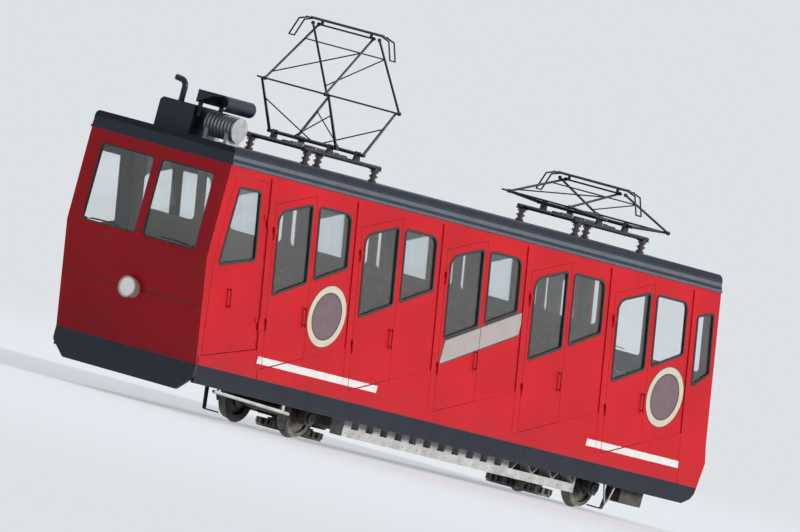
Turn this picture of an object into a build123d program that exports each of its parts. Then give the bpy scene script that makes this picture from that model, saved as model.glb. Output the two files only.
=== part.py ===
# Cog railway car: a stepped, parallelogram-shaped car on two axles, with pairs of horizontal
# pinions below and diamond pantographs above.
# Millimetres. +X runs downhill along the track, +Z stands square to the track, -Y is the near
# side. z = 0 lies under the wheel flanges. In the functions, u runs downhill from the uphill
# foot of the body, w up from the sill line, and a leaning line is named by its u at PART_W.
import math
import os

from build123d import *

os.makedirs("parts", exist_ok=True)

# Body
LENGTH = 10910.0        # from the uphill nose to the downhill foot
WIDTH = 2100.0          # over the side walls
NOSE_OVER = 390.0       # how far the uphill end leans out past its foot
UP_FOOT = -50.0         # u of the uphill end wall's foot
KNEE_W = 1330.0         # above this height the uphill end stands square to the track
SILL_Z = 505.0          # sill line above the flange bottoms
LEAN = 0.296            # posts and doors lean uphill by this much per unit of height
END_LEAN = 0.288        # the same for the downhill end
WALL = 40.0             # side walls, end walls and doors
BODY_FOOT = 90.0        # w of the body's lower edge
EAVE = 2440.0           # w of the side walls' upper edge
BAND = 140.0            # height of the cantrail over the side walls
ROOF_RISE = 70.0        # from the cantrails to the roof's top
ROOF_T = 38.0           # roof sheet at its middle
ROOF_ROUND = 62.0       # radius along the roof's sides
BULGE = (45.0, 400.0, 640.0, 90.0)  # downhill foot: foot set-back, widest w, upper w, its set-back
SKIRT_FOOT = -130.0     # w of the skirt's lower edge
PLINTH = 10.0           # the plinth stands this proud of the side walls
POST = 13.0             # and the leaning posts this much
GLASS = 8.0
PART_W = 1350.0
PART_U = 800.0          # first partition
PART_T = 36.0
PART_WINDOW = (60.0, 860.0, 1690.0, 70.0)  # y from, y to, foot w, drop from the eave
END_RUN = 820.0         # from the last leaning post to the downhill foot
COMPARTMENTS = 5
DECK_T = 40.0
APRON = (-70.0, -250.0, 200.0)  # uphill apron: w of its corners, w of its foot, corner inset
BENCH = (420.0, 80.0, 620.0)  # seat depth, seat thickness, back height
BENCH_RISE = (340.0, 260.0)  # seats above the floor at the uphill and downhill partitions
BENCH_STAND = 230.0     # how far a bench's pedestal comes out from its partition
DESK_Y = 420.0          # half the width of the driver's desks

# Doors and windows
DOOR_EDGE = 90.0        # from a partition to its door
DOOR_W = 815.0
DOOR_GAP = 7.0
DOOR_DROP = 100.0       # from the eave to a door's highest corner
FLOOR_RISE = 0.31       # stepped floors rise downhill by this much per unit of length
FLOOR_W = 228.0         # w of a stepped floor at its door's uphill foot
PANE_IN = (86.0, 75.0)  # from a door's uphill and downhill edges to its pane
PANE_FOOT = 1095.0      # w of a door pane's lowest corner
PANE_RISE = 0.40        # window feet rise by this much
PANE_DROP = 222.0       # from the eave to the panes' highest corners
FIXED_IN = (80.0, 159.0)  # from the door to the fixed pane, and from that to the next partition
CORNER = 32.0
ARCH = 125.0            # radius of the windows' outer upper corners
CAB_HINGE = 70.0        # from the first partition to the cab door's hinge edge
CAB_EDGE = (88.0, 150.0)  # from the nose to the cab door at its foot and above the knee
CAB_FOOT = 210.0
CAB_RISE = 0.22
CAB_PANE_IN = (115.0, 172.0)  # from the cab door's edge at the nose and from its hinge to its pane
PULL = (60.0, 930.0)    # door pulls: from the door's edge, and w
PULL_HALF = 120.0
CAB_PULL = 340.0        # from the cab door's edge at the nose to its pull
END_WINDOW = (50.0, 850.0, 1370.0, 140.0)  # y from, y to, foot w, drop from the eave
END_LIFT = 70.0         # the downhill end's windows start this much higher
END_CORNER = 60.0
GROOVE_W = 750.0        # groove across the uphill end, with the lamp on it
LAMP_DN_W = 900.0
LAMP_R = 118.0
HINGE_OUT = 14.0
HINGE_R = 12.0
HINGE_LEN = 70.0
PIN_R = 5.0
RUN = 0.4               # play of a pin or shaft in its hole, on the radius

# Running gear
GAUGE = 800.0
TREAD_R = 260.0
FLANGE = 25.0
WHEEL_W = 110.0
AXLE_R = 60.0
JOURNAL_R = 45.0
UP_AXLE_U = 2950.0      # from the body's uphill foot to the uphill axle
DN_AXLE_IN = 1590.0     # from the downhill foot to the downhill axle
FRAME_IN = 220.0        # from the downhill foot to the frame's end
BEAM_Y = 620.0          # middle of the frame's side beams
BEAM_W = 100.0
BEAM_FOOT = -40.0
END_BEAM = 70.0         # along the car
MEMBER_W = 60.0         # cross members, along the car
BY_AXLES = ((0, -1250.0), (0, -450.0), (1, 450.0))  # cross members from each axle
BY_COMB = (0.12, 0.35, 0.66, 0.97)  # and as shares of the comb casings' length
BOX_HALF = 110.0        # half an axle box's length
TOW_R = 26.0            # drawplate bores, one behind each apron
TOW_T = 45.0
TOW_IN = 180.0          # from each end of the frame to its bore
RACK_PITCH = 85.7
TEETH = 14
RACK_W = 110.0          # between the pitch lines of the two-sided rack
PINION_H = 70.0
PINION_Z = 70.0
PINION_U = 570.0        # from an axle to its pinion pair, towards the middle of the car
ADDENDUM = 22.0
DEDENDUM = 26.0
MOTOR_R = 165.0
MOTOR_L = 1250.0
MOTOR_RIB = (60.0, 12.0)  # width and height of its ribs
MOTOR_RIBS = (0.0, 390.0, 790.0, 1190.0)  # from its uphill end
CASE_HALF = 230.0       # half a gear case's length
CASE_SIDE = (90.0, 150.0)  # its flat and its full half width past the pinion axes
COMB_Y = 790.0          # middle of the comb casings
COMB_W = 180.0
COMB_IN = (400.0, 700.0)  # from the axles to the comb casings' ends
COMB_FOOT = -325.0
COMB_PITCH = 300.0
COMB_GAP = 145.0
BAR_U = (450.0, 2000.0)  # bars under the uphill skirts, from and to
CELL = (250.0, 720.0, -310.0, 900.0)  # equipment boxes: from the downhill axle, to, foot w, outer y
GUARD_U = (150.0, 70.0)  # rail guards: from the wheel's rim at the frame and at the rail

# Pantographs
PAN_STAND = 280.0       # main shafts above the roof
PAN_SHAFT_U = 280.0     # from the middle to each main shaft
PAN_LOWER = 720.0
PAN_UPPER = 1046.0
PAN_UP_DEG = 54.0
PAN_DOWN_DEG = 3.0
PAN_UPHILL_U = 2550.0
PAN_DOWNHILL_IN = 2290.0  # from the downhill foot to that pantograph's middle
PAN_ARM_Y = 500.0
PAN_STEP_Y = 45.0       # sideways from the lower arms to the upper ones
PAN_TUBE_R = 17.0
PAN_SHAFT_R = 22.0
PAN_PIN_R = 11.0
PAN_FOOT_U = 700.0      # insulators from the middle, along and across
PAN_FOOT_Y = 420.0
PAN_BAR = 570.0         # half the straight part of the contact bar
PAN_HORN = (190.0, 250.0)  # how far a horn runs out and down
PAN_RAIL = 100.0        # base rails below the main shafts
PAN_SPRING = (170.0, 24.0, 19.0)  # lift springs: y, above the rails, radius

# Roof gear at the uphill end
CHEST_U = (20.0, 540.0)
CHEST_Y = (-20.0, 500.0)
CHEST_H = 350.0
CHEST_ROUND = 40.0
PIPE = (150.0, 190.0, 36.0)  # breather: from the chest's uphill end, from its far side, radius
HOOD_H = 540.0          # top of the hood above the roof
HOOD_LIP = (-400.0, 92.0)  # y of its rolled lip, and the lip's radius
DRUM_R = (150.0, 120.0)  # over the resistor's fins and between them
DRUM_L = 450.0
DRUM_H = 190.0          # its axis above the roof
DRUM_GAP = 70.0         # between the chest and the drum

HALF_W = WIDTH / 2
INNER = HALF_W - WALL
X0 = -LENGTH / 2 + NOSE_OVER
DN_U = LENGTH - NOSE_OVER
AXLES_U = (UP_AXLE_U, DN_U - DN_AXLE_IN)
PITCH = (DN_U - END_RUN - PART_U) / COMPARTMENTS
DECK = BODY_FOOT + DECK_T
ROOF_W = EAVE + BAND
ROOF_TOP = ROOF_W + ROOF_RISE
AXLE_W = TREAD_R + FLANGE - SILL_Z
PITCH_R = TEETH * RACK_PITCH / (2 * math.pi)
PINION_Y = RACK_W / 2 + PITCH_R
PAN_W = ROOF_TOP + PAN_STAND
COMB_U = (AXLES_U[0] + COMB_IN[0], AXLES_U[1] - COMB_IN[1])


def place(u, y, w):
    return (X0 + u, y, SILL_Z + w)


def prism(points, y0, y1, radii=0.0):
    """Outline of (u, w) points with rounded corners, run along Y from y0 to y1."""
    pts = [place(u, y0, w) for u, w in points]
    line = FilletPolyline(*pts, radius=radii, close=True) if radii else Polyline(*pts, close=True)
    return extrude(make_face(line.edges()), amount=y1 - y0, dir=(0, 1, 0))


def cross(points, u0, u1, radii=0.0):
    """Outline of (y, w) points with rounded corners, run along X from u0 to u1."""
    pts = [place(u0, y, w) for y, w in points]
    line = FilletPolyline(*pts, radius=radii, close=True) if radii else Polyline(*pts, close=True)
    return extrude(make_face(line.edges()), amount=u1 - u0, dir=(1, 0, 0))


def box(u0, u1, y0, y1, w0, w1):
    return Pos(*place((u0 + u1) / 2, (y0 + y1) / 2, (w0 + w1) / 2)) * Box(
        abs(u1 - u0), abs(y1 - y0), w1 - w0)


def rod(a, b, r, r_end=None):
    """Round bar or cone between two (u, y, w) points."""
    p, q = Vector(*place(*a)), Vector(*place(*b))
    if r_end is None:
        return extrude(Plane(origin=p, z_dir=q - p) * Circle(r), amount=(q - p).length)
    return Plane(origin=(p + q) / 2, z_dir=q - p) * Cone(r, r_end, (q - p).length)


def turned_y(u, w, profile):
    """Turned piece about an axis along Y, from (radius, y) points."""
    x, _, z = place(u, 0, w)
    line = Polyline(*[(x + r, y, z) for r, y in profile], close=True)
    return revolve(make_face(line.edges()), axis=Axis((x, 0, z), (0, 1, 0)))


def turned_z(u, y, profile):
    """Turned piece about an upright axis, from (radius, w) points."""
    x, _, _ = place(u, y, 0)
    line = Polyline(*[(x + r, y, SILL_Z + w) for r, w in profile], close=True)
    return revolve(make_face(line.edges()), axis=Axis((x, y, 0), (0, 0, 1)))


def merge(pieces):
    return pieces[0].fuse(*pieces[1:]) if len(pieces) > 1 else pieces[0]


def mirrored(shape):
    return mirror(shape, about=Plane.XZ)


def along(shape, du):
    return Pos(du, 0, 0) * shape


def save(name, *shapes):
    solids = [s for shape in shapes for s in shape.solids()]
    export_step(Compound(children=solids) if len(solids) > 1 else solids[0], f"parts/{name}.step")


def lean_u(line, w):
    """u of a leaning line at height w."""
    return line - LEAN * (w - PART_W)


def meet(line, u0, w0, rise):
    """Where a leaning line crosses the line through (u0, w0) that rises downhill."""
    u = (line - LEAN * (w0 - rise * u0 - PART_W)) / (1 + LEAN * rise)
    return (u, w0 + rise * (u - u0))


def nose_u(w):
    """Outer face of the uphill end."""
    return UP_FOOT - (NOSE_OVER + UP_FOOT) * min(1.0, (w - BODY_FOOT) / (KNEE_W - BODY_FOOT))


def tail_u(w):
    """Outer face of the downhill end above its bulge."""
    return DN_U - BULGE[3] - END_LEAN * (w - BULGE[2])


# Outlines
NOSE = [(UP_FOOT, BODY_FOOT), (-NOSE_OVER, KNEE_W), (-NOSE_OVER, EAVE)]
TAIL = [(tail_u(EAVE), EAVE), (tail_u(BULGE[2]), BULGE[2]), (DN_U, BULGE[1]), (DN_U - BULGE[0], BODY_FOOT)]


def part_line(n):
    return PART_U + n * PITCH


def floor_line(line, n):
    """Where a leaning line meets the stepped floor of compartment n."""
    foot = meet(part_line(n) + DOOR_EDGE, lean_u(part_line(n) + DOOR_EDGE, FLOOR_W), FLOOR_W, 0.0)
    return meet(line, foot[0], foot[1], FLOOR_RISE)


def door_outline(grow=0.0):
    up, dn = PART_U + DOOR_EDGE, PART_U + DOOR_EDGE + DOOR_W
    low, high = floor_line(up, 0), meet(dn, lean_u(dn, EAVE - DOOR_DROP), EAVE - DOOR_DROP, 0.0)
    feet = [meet(line, low[0], low[1] - grow, FLOOR_RISE) for line in (up - grow, dn + grow)]
    tops = [meet(line, high[0], high[1] + grow, LEAN) for line in (dn + grow, up - grow)]
    return feet + tops


def pane_foot(line):
    first = PART_U + DOOR_EDGE + PANE_IN[0]
    return meet(line, lean_u(first, PANE_FOOT), PANE_FOOT, PANE_RISE)


def door_pane():
    up = PART_U + DOOR_EDGE + PANE_IN[0]
    dn = PART_U + DOOR_EDGE + DOOR_W - PANE_IN[1]
    high = (lean_u(dn, EAVE - PANE_DROP), EAVE - PANE_DROP)
    return [pane_foot(up), pane_foot(dn), high, meet(up, high[0], high[1], LEAN)]


def fixed_pane():
    up = PART_U + DOOR_EDGE + DOOR_W + FIXED_IN[0]
    dn = PART_U + PITCH - FIXED_IN[1]
    top = EAVE - PANE_DROP
    return [pane_foot(up), pane_foot(dn), (lean_u(dn, top), top), (lean_u(up, top), top)]


def cab_outline(grow=0.0):
    g = grow
    hinge = PART_U - CAB_HINGE + g
    up = (nose_u(CAB_FOOT) + CAB_EDGE[0] - g, CAB_FOOT - g * 2)
    top = EAVE - DOOR_DROP + g
    edge = CAB_EDGE[1] - NOSE_OVER - g
    return [up, meet(hinge, up[0], up[1], CAB_RISE), (lean_u(hinge, top), top), (edge, top), (edge, KNEE_W)]


def cab_pane():
    up = CAB_EDGE[1] - NOSE_OVER + CAB_PANE_IN[0]
    dn = PART_U - CAB_HINGE - CAB_PANE_IN[1]
    foot = KNEE_W - 40.0
    top = EAVE - PANE_DROP - 10.0
    return [(up, foot), meet(dn, up, foot, CAB_RISE), (lean_u(dn, top), top), (up + 15.0, top)]


def end_pane():
    up = part_line(COMPARTMENTS) + 95.0
    foot = KNEE_W - 60.0
    top = EAVE - PANE_DROP - 50.0
    return [(lean_u(up, foot), foot), (tail_u(foot + 190.0) - 95.0, foot + 190.0),
            (tail_u(top) - 115.0, top), (lean_u(up, top - 70.0), top - 70.0)]


DOOR_ROUND = (CORNER, CORNER, CORNER, ARCH)
FIXED_ROUND = (CORNER, CORNER, ARCH, CORNER)
PLAIN_ROUND = (CORNER, CORNER, CORNER, CORNER)


def shift(points, du):
    return [(u + du, w) for u, w in points]


# Near door leaves, hung outward on two lift-off hinges along the leaning edge
def hinge_heights(outline, line_end):
    w_low = min(w for _, w in outline)
    w_high = max(w for _, w in outline)
    return (w_low + 0.24 * (w_high - w_low), w_low + line_end * (w_high - w_low))


def hinge(line, w, toward):
    """Leaf barrel with its strap, its hole, and the wall's barrel, strap and pin below it."""
    y_axis, y_face = -HALF_W - HINGE_OUT, -HALF_W

    def spot(dw):
        return (lean_u(line, w + dw), y_axis, w + dw)

    def strap(w0, w1, run):
        pts = [(lean_u(line, w0), w0), (lean_u(line, w0) + run, w0),
               (lean_u(line, w1) + run, w1), (lean_u(line, w1), w1)]
        return prism(pts, y_face - 9.0, y_face)

    leaf = [rod(spot(1.5), spot(HINGE_LEN), HINGE_R), strap(w + 8, w + HINGE_LEN - 8, toward * 62)]
    hole = rod(spot(-5), spot(HINGE_LEN + 5), PIN_R + RUN)
    wall = [rod(spot(-HINGE_LEN), spot(0), HINGE_R), strap(w + 8 - HINGE_LEN, w - 8, -toward * 50),
            rod(spot(-10), spot(HINGE_LEN - 6), PIN_R)]
    return leaf, hole, wall


def door_leaf(outline, pane, rounds, line, toward, heights, pull):
    y_mid = -HALF_W + WALL / 2
    leaf = prism(outline, -HALF_W, -INNER) - prism(pane, -HALF_W - 1, -INNER + 1, rounds)
    pieces = [leaf, prism(pane, y_mid - GLASS / 2, y_mid + GLASS / 2, rounds)]
    holes = []
    for w in heights:
        barrel, hole, _ = hinge(line, w, toward)
        pieces += barrel
        holes.append(hole)
    u, w = pull
    y_grip = -HALF_W - 38.0
    grip = [rod((lean_u(u, w + dw), -HALF_W + 5, w + dw), (lean_u(u, w + dw), y_grip, w + dw), 8)
            for dw in (25.0 - PULL_HALF, PULL_HALF - 25.0)]
    ends = [(lean_u(u, w + dw), y_grip, w + dw) for dw in (-PULL_HALF, PULL_HALF)]
    grip.append(rod(ends[0], ends[1], 11))
    leaf = merge(pieces + grip)
    for hole in holes:
        leaf = leaf - hole
    return leaf


leaf_line = PART_U + DOOR_EDGE - DOOR_GAP / 2
leaf_heights = hinge_heights(door_outline(), 0.74)
first_door = door_leaf(door_outline(), door_pane(), DOOR_ROUND, leaf_line, 1, leaf_heights,
                       (PART_U + DOOR_EDGE + DOOR_W - PULL[0], PULL[1]))
for n in range(COMPARTMENTS):
    near = along(first_door, n * PITCH)
    save(f"door_near_{n + 1}", near)
    save(f"door_far_{n + 1}", mirrored(near))
cab_line = PART_U - CAB_HINGE + DOOR_GAP / 2
cab_heights = hinge_heights(cab_outline(), 0.80)
cab_door = door_leaf(cab_outline(), cab_pane(), PLAIN_ROUND, cab_line, -1, cab_heights,
                     (CAB_EDGE[1] - NOSE_OVER + CAB_PULL, PULL[1]))
save("door_near_cab", cab_door)
save("door_far_cab", mirrored(cab_door))


# Side walls with plinth, posts and the wall halves of the hinges
def post(line, w_foot):
    """Leaning cover strip over a partition, from w_foot to just under the eave."""
    corners = ((-46, w_foot), (34, w_foot), (34, EAVE - 40), (-46, EAVE - 40))
    return prism([(lean_u(line + e, w), w) for e, w in corners], -HALF_W - POST, -HALF_W)


wall = prism(NOSE + TAIL, -HALF_W, -INNER)
add, cut, panes = [], [], []
y_out = -HALF_W - PLINTH
for n in range(COMPARTMENTS):
    du = n * PITCH
    cut += [prism(shift(door_outline(DOOR_GAP), du), -HALF_W - 60, -INNER + 1),
            prism(shift(fixed_pane(), du), -HALF_W - 60, -INNER + 1, FIXED_ROUND)]
    panes.append(shift(fixed_pane(), du))
    a, b = floor_line(part_line(n), n), floor_line(part_line(n + 1), n)
    foot = BODY_FOOT + 6.0
    drop = DOOR_GAP + 4.0
    add.append(prism([(lean_u(part_line(n), foot), foot), (lean_u(part_line(n + 1), foot), foot),
                      (b[0], b[1] - drop), (a[0], a[1] - drop)], y_out, -HALF_W))
    add.append(post(part_line(n), a[1]))
    for w in leaf_heights:
        add += hinge(leaf_line + du, w, 1)[2]
a = cab_outline(DOOR_GAP + 4.0)
foot = BODY_FOOT + 6.0
seam = PART_U - 14.0
add.append(prism([(nose_u(foot) + 30, foot), (lean_u(seam, foot), foot),
                  meet(seam, a[0][0], a[0][1], CAB_RISE), a[0], (nose_u(a[0][1]) + 30, a[0][1])],
                 y_out, -HALF_W))
add.append(post(part_line(COMPARTMENTS), foot))
for w in cab_heights:
    add += hinge(cab_line, w, -1)[2]
cut += [prism(cab_outline(DOOR_GAP), -HALF_W - 1, -INNER + 1),
        prism(end_pane(), -HALF_W - 1, -INNER + 1, PLAIN_ROUND)]
for piece in cut:
    wall = wall - piece
wall = merge([wall] + add)
save("side_wall_near", wall)
save("side_wall_far", mirrored(wall))
y_mid = -HALF_W + WALL / 2
glass = [prism(p, y_mid - GLASS / 2, y_mid + GLASS / 2, FIXED_ROUND) for p in panes]
glass.append(prism(end_pane(), y_mid - GLASS / 2, y_mid + GLASS / 2, PLAIN_ROUND))
save("side_glass_near", *glass)
save("side_glass_far", *[mirrored(g) for g in glass])

# End walls with a window each side of the middle post, and the glass of every cross wall
ya, yb, wf, drop = END_WINDOW
wt = EAVE - drop
end_up = prism(NOSE + [(u + WALL, w) for u, w in reversed(NOSE)], -INNER, INNER)
end_dn = prism(TAIL + [(u - WALL, w) for u, w in reversed(TAIL)], -INNER, INNER)
panes = []
for s in (-1, 1):
    hole = [(s * ya, wf), (s * yb, wf), (s * yb, wt), (s * ya, wt)]
    end_up = end_up - cross(hole, -NOSE_OVER - 20, 0, END_CORNER)
    panes.append(cross(hole, WALL / 2 - GLASS / 2 - NOSE_OVER, WALL / 2 + GLASS / 2 - NOSE_OVER, END_CORNER))
    hole = [(s * ya, wf + END_LIFT), (s * yb, wf + END_LIFT), (s * yb, wt), (s * ya, wt)]
    tail_hole = cross(hole, tail_u(wt) - 200, tail_u(wf) + 200, END_CORNER)
    end_dn = end_dn - tail_hole
    sheet = prism([(tail_u(wf) - WALL / 2 - d, wf) for d in (GLASS / 2, -GLASS / 2)] +
                  [(tail_u(wt) - WALL / 2 - d, wt) for d in (-GLASS / 2, GLASS / 2)], -INNER, INNER)
    panes.append(sheet & tail_hole)
u_groove = nose_u(GROOVE_W)
end_up = end_up - box(u_groove - 20, u_groove + 6, -INNER - 1, INNER + 1, GROOVE_W - 7, GROOVE_W + 7)
save("end_wall_uphill", end_up)
save("end_wall_downhill", end_dn)


def part_windows(line):
    """The two holes through a partition, longer than it is thick."""
    y_from, y_to, w_from, fall = PART_WINDOW
    w_to = EAVE - fall
    return [cross([(s * y_from, w_from), (s * y_to, w_from), (s * y_to, w_to), (s * y_from, w_to)],
                  lean_u(line, w_to) - 60, lean_u(line, w_from) + 60, END_CORNER) for s in (-1, 1)]


def part_sheet(line, thick, w0, w1):
    """Leaning cross sheet from wall to wall."""
    corners = ((-thick / 2, w0), (thick / 2, w0), (thick / 2, w1), (-thick / 2, w1))
    return prism([(lean_u(line + e, w), w) for e, w in corners], -INNER, INNER)


for n in range(COMPARTMENTS):
    panes += [part_sheet(part_line(n), GLASS, DECK, EAVE) & hole for hole in part_windows(part_line(n))]
save("end_glass", *panes)


# Headlamp on each end: a turned shell with a rim and a recessed lens
def lamp(u_face, w, way, seat):
    r = LAMP_R
    profile = [(0, 0), (r, 0), (r, 110), (r + 8, 116), (r + 8, 136), (r - 10, 136), (r - 14, 122), (0, 122)]
    x, _, z = place(u_face, 0, w)
    line = Polyline(*[(x + way * d, r, z) for r, d in profile], close=True)
    shell = revolve(make_face(line.edges()), axis=Axis((x, 0, z), (1, 0, 0)))
    return shell - seat


seat = prism([(UP_FOOT, BODY_FOOT), (-NOSE_OVER, KNEE_W), (0.0, KNEE_W), (0.0, BODY_FOOT)], -200, 200)
lamp_up = lamp(u_groove + 34, GROOVE_W, -1, seat)
w_low, w_high = LAMP_DN_W - 240.0, LAMP_DN_W + 240.0
seat = prism([(tail_u(w_high), w_high), (tail_u(w_low), w_low), (tail_u(w_low) - 300, w_low),
              (tail_u(w_high) - 300, w_high)], -200, 200)
lamp_dn = lamp(tail_u(LAMP_DN_W) - 34, LAMP_DN_W, 1, seat)
save("headlamps", lamp_up, lamp_dn)

# Cantrails, gutters and the crowned roof sheet
side = prism([(-NOSE_OVER, EAVE), (tail_u(EAVE), EAVE), (tail_u(ROOF_W), ROOF_W), (-NOSE_OVER, ROOF_W)],
             -HALF_W, -INNER)
ends = [box(-NOSE_OVER, WALL - NOSE_OVER, -INNER, INNER, EAVE, ROOF_W),
        prism([(tail_u(EAVE), EAVE), (tail_u(ROOF_W), ROOF_W), (tail_u(ROOF_W) - WALL, ROOF_W),
               (tail_u(EAVE) - WALL, EAVE)], -INNER, INNER)]
gutter = cross([(-HALF_W, EAVE), (-HALF_W, EAVE + 34), (-HALF_W - 10, EAVE + 34), (-HALF_W - 22, EAVE + 26),
                (-HALF_W - 22, EAVE + 12), (-HALF_W - 10, EAVE)], -NOSE_OVER, tail_u(EAVE + 34))
side = merge([side, gutter])
save("cantrails", side, mirrored(side), *ends)
sheet = cross([(-HALF_W, ROOF_W), (HALF_W, ROOF_W), (HALF_W, ROOF_TOP), (-HALF_W, ROOF_TOP)],
              -NOSE_OVER, tail_u(ROOF_W), (0, 0, ROOF_ROUND, ROOF_ROUND))
sheet = sheet - cross([(-INNER, ROOF_W - 1), (INNER, ROOF_W - 1), (INNER, ROOF_TOP - ROOF_T),
                       (-INNER, ROOF_TOP - ROOF_T)], WALL - NOSE_OVER, tail_u(ROOF_TOP) - WALL)
past = tail_u(ROOF_W) + 50
sheet = sheet - prism([(tail_u(ROOF_W), ROOF_W), (tail_u(ROOF_TOP + 50), ROOF_TOP + 50),
                       (past, ROOF_TOP + 50), (past, ROOF_W)], -HALF_W - 1, HALF_W + 1)
save("roof", sheet)

# Skirts and aprons
skirt = [(UP_FOOT + WALL, SKIRT_FOOT), (DN_U - 270, SKIRT_FOOT), (DN_U - 120, SKIRT_FOOT + 70),
         (DN_U - 60, BODY_FOOT - 80), (DN_U - BULGE[0], BODY_FOOT), (UP_FOOT + WALL, BODY_FOOT)]
side = prism(skirt, -HALF_W, -INNER)
save("sill_skirt", side, mirrored(side))
w_side, w_foot, inset = APRON
outline = [(-HALF_W, BODY_FOOT), (HALF_W, BODY_FOOT), (HALF_W, w_side), (HALF_W - inset, w_foot),
           (inset - HALF_W, w_foot), (-HALF_W, w_side)]
apron_up = cross(outline, UP_FOOT, UP_FOOT + WALL, (0, 0, 60, 60, 60, 60))
curve = skirt[1:5]
apron_dn = prism(curve + [(u - WALL, w + (0 if w == BODY_FOOT else 28)) for u, w in reversed(curve)],
                 -INNER, INNER)
save("aprons", apron_up, apron_dn)

# Frame: side beams and bored drawplates between two end beams, cross members cut off at the
# side beams, and the deck on top
u_first, u_last = UP_FOOT + WALL, DN_U - FRAME_IN
u_in, u_out = u_first + END_BEAM, u_last - END_BEAM
beam_in, beam_out = BEAM_Y - BEAM_W / 2, BEAM_Y + BEAM_W / 2
side_beam = box(u_in, u_out, beam_in, beam_out, BEAM_FOOT, BODY_FOOT)
plates = []
for u, end in ((u_first + TOW_IN, u_in), (u_last - TOW_IN, u_out)):
    lo, hi = min(u - TOW_R - 40, end), max(u + TOW_R + 40, end)
    plate = box(lo, hi, -75, 75, BEAM_FOOT, BEAM_FOOT + TOW_T)
    plates.append(plate - rod((u, 0, BEAM_FOOT - 5), (u, 0, BEAM_FOOT + TOW_T + 5), TOW_R))
save("frame_beams", side_beam, mirrored(side_beam), *plates)
at = [AXLES_U[k] + du for k, du in BY_AXLES] + [COMB_U[0] + (COMB_U[1] - COMB_U[0]) * f for f in BY_COMB]
members = [box(lo, hi, -INNER, INNER, BEAM_FOOT, BODY_FOOT) for lo, hi in ((u_first, u_in), (u_out, u_last))]
for u in at:
    for lo, hi in ((-INNER, -beam_out), (-beam_in, beam_in), (beam_out, INNER)):
        members.append(box(u - MEMBER_W / 2, u + MEMBER_W / 2, lo, hi, 0, BODY_FOOT))
save("frame_members", *members)
save("deck", prism([(nose_u(BODY_FOOT) + WALL, BODY_FOOT), (DN_U - BULGE[0] - WALL, BODY_FOOT),
                    (DN_U - BULGE[0] - WALL, DECK), (nose_u(BODY_FOOT) + WALL, DECK)], -INNER, INNER))


# Stepped floors, partitions, benches and desks
def tread(a, b, foot_a, foot_b):
    """Stepped floor sheet from a to b with a riser at each end down to the deck."""
    t = 38.0
    return prism([foot_a, a, b, foot_b, (foot_b[0] - t, DECK), (b[0] - t, b[1] - t * 1.1),
                  (a[0] + t * 1.4, a[1] - t * 0.7), (foot_a[0] + t * 1.4, DECK)], -INNER, INNER)


def nose_in(w):
    return nose_u(w) + WALL


def tail_in(w):
    return tail_u(w) - WALL


half_t = PART_T / 2
floors, partitions, benches = [], [], []
cab_end = PART_U - half_t
cab_lo = (nose_in(CAB_FOOT - 6.0), CAB_FOOT - 6.0)
cab_hi = meet(cab_end, cab_lo[0], cab_lo[1], CAB_RISE)
floors.append(tread(cab_lo, cab_hi, (nose_in(DECK) + 0.0, DECK), (lean_u(cab_end, DECK), DECK)))
ceiling = ROOF_TOP - ROOF_T
for n in range(COMPARTMENTS):
    line = part_line(n)
    partition = part_sheet(line, PART_T, DECK, ceiling)
    for hole in part_windows(line):
        partition = partition - hole
    partitions.append(partition)
    up, dn = line + half_t, line + PITCH - half_t
    lo = floor_line(up, n)
    if n < COMPARTMENTS - 1:
        hi, foot = floor_line(dn, n), (lean_u(dn, DECK), DECK)
    else:
        u_end = (tail_in(lo[1]) + END_LEAN * FLOOR_RISE * lo[0]) / (1 + END_LEAN * FLOOR_RISE)
        hi = (u_end, lo[1] + FLOOR_RISE * (u_end - lo[0]))
        foot = (DN_U - BULGE[0] - WALL - 20, DECK)
    floors.append(tread(lo, hi, (lean_u(up, DECK), DECK), foot))
    depth, seat_t, back = BENCH
    for sgn, side_line, rise_to in ((1, up, BENCH_RISE[0]), (-1, dn, BENCH_RISE[1])):
        if sgn < 0 and n == COMPARTMENTS - 1:
            continue
        s0 = floor_line(side_line, n)[1] + rise_to
        a = lean_u(side_line, s0)
        tilt = sgn * depth * FLOOR_RISE
        on_floor = floor_line(side_line, n)
        stand = sgn * BENCH_STAND
        leg = (on_floor[0] + stand, on_floor[1] + stand * FLOOR_RISE)
        knee_at = (a + stand, s0 + stand * FLOOR_RISE)
        back_foot = (lean_u(side_line, s0 + seat_t) + sgn * 75, s0 + seat_t + sgn * 75 * FLOOR_RISE)
        back_u = lean_u(side_line, s0 + back)
        seat = [on_floor, leg, knee_at, (a + sgn * depth, s0 + tilt), (a + sgn * depth, s0 + tilt + seat_t),
                back_foot, (back_u + sgn * 45, s0 + back), (back_u, s0 + back)]
        benches.append(prism(seat, 70 - INNER, INNER - 70))
save("floor_steps", *floors)
save("partitions", *partitions)
save("benches", *benches)
desk_up = [(nose_in(740), 740), (nose_in(1120), 1120), (nose_in(1120) + 330, 1060),
           (nose_in(1120) + 350, 990), (nose_in(740) + 90, 800)]
desk_dn = [(tail_in(960), 960), (tail_in(1240), 1240), (tail_in(1240) - 260, 1185),
           (tail_in(1240) - 285, 1110), (tail_in(960) - 90, 1000)]
save("driver_desks", prism(desk_up, -DESK_Y, DESK_Y), prism(desk_dn, -DESK_Y, DESK_Y))

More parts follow.
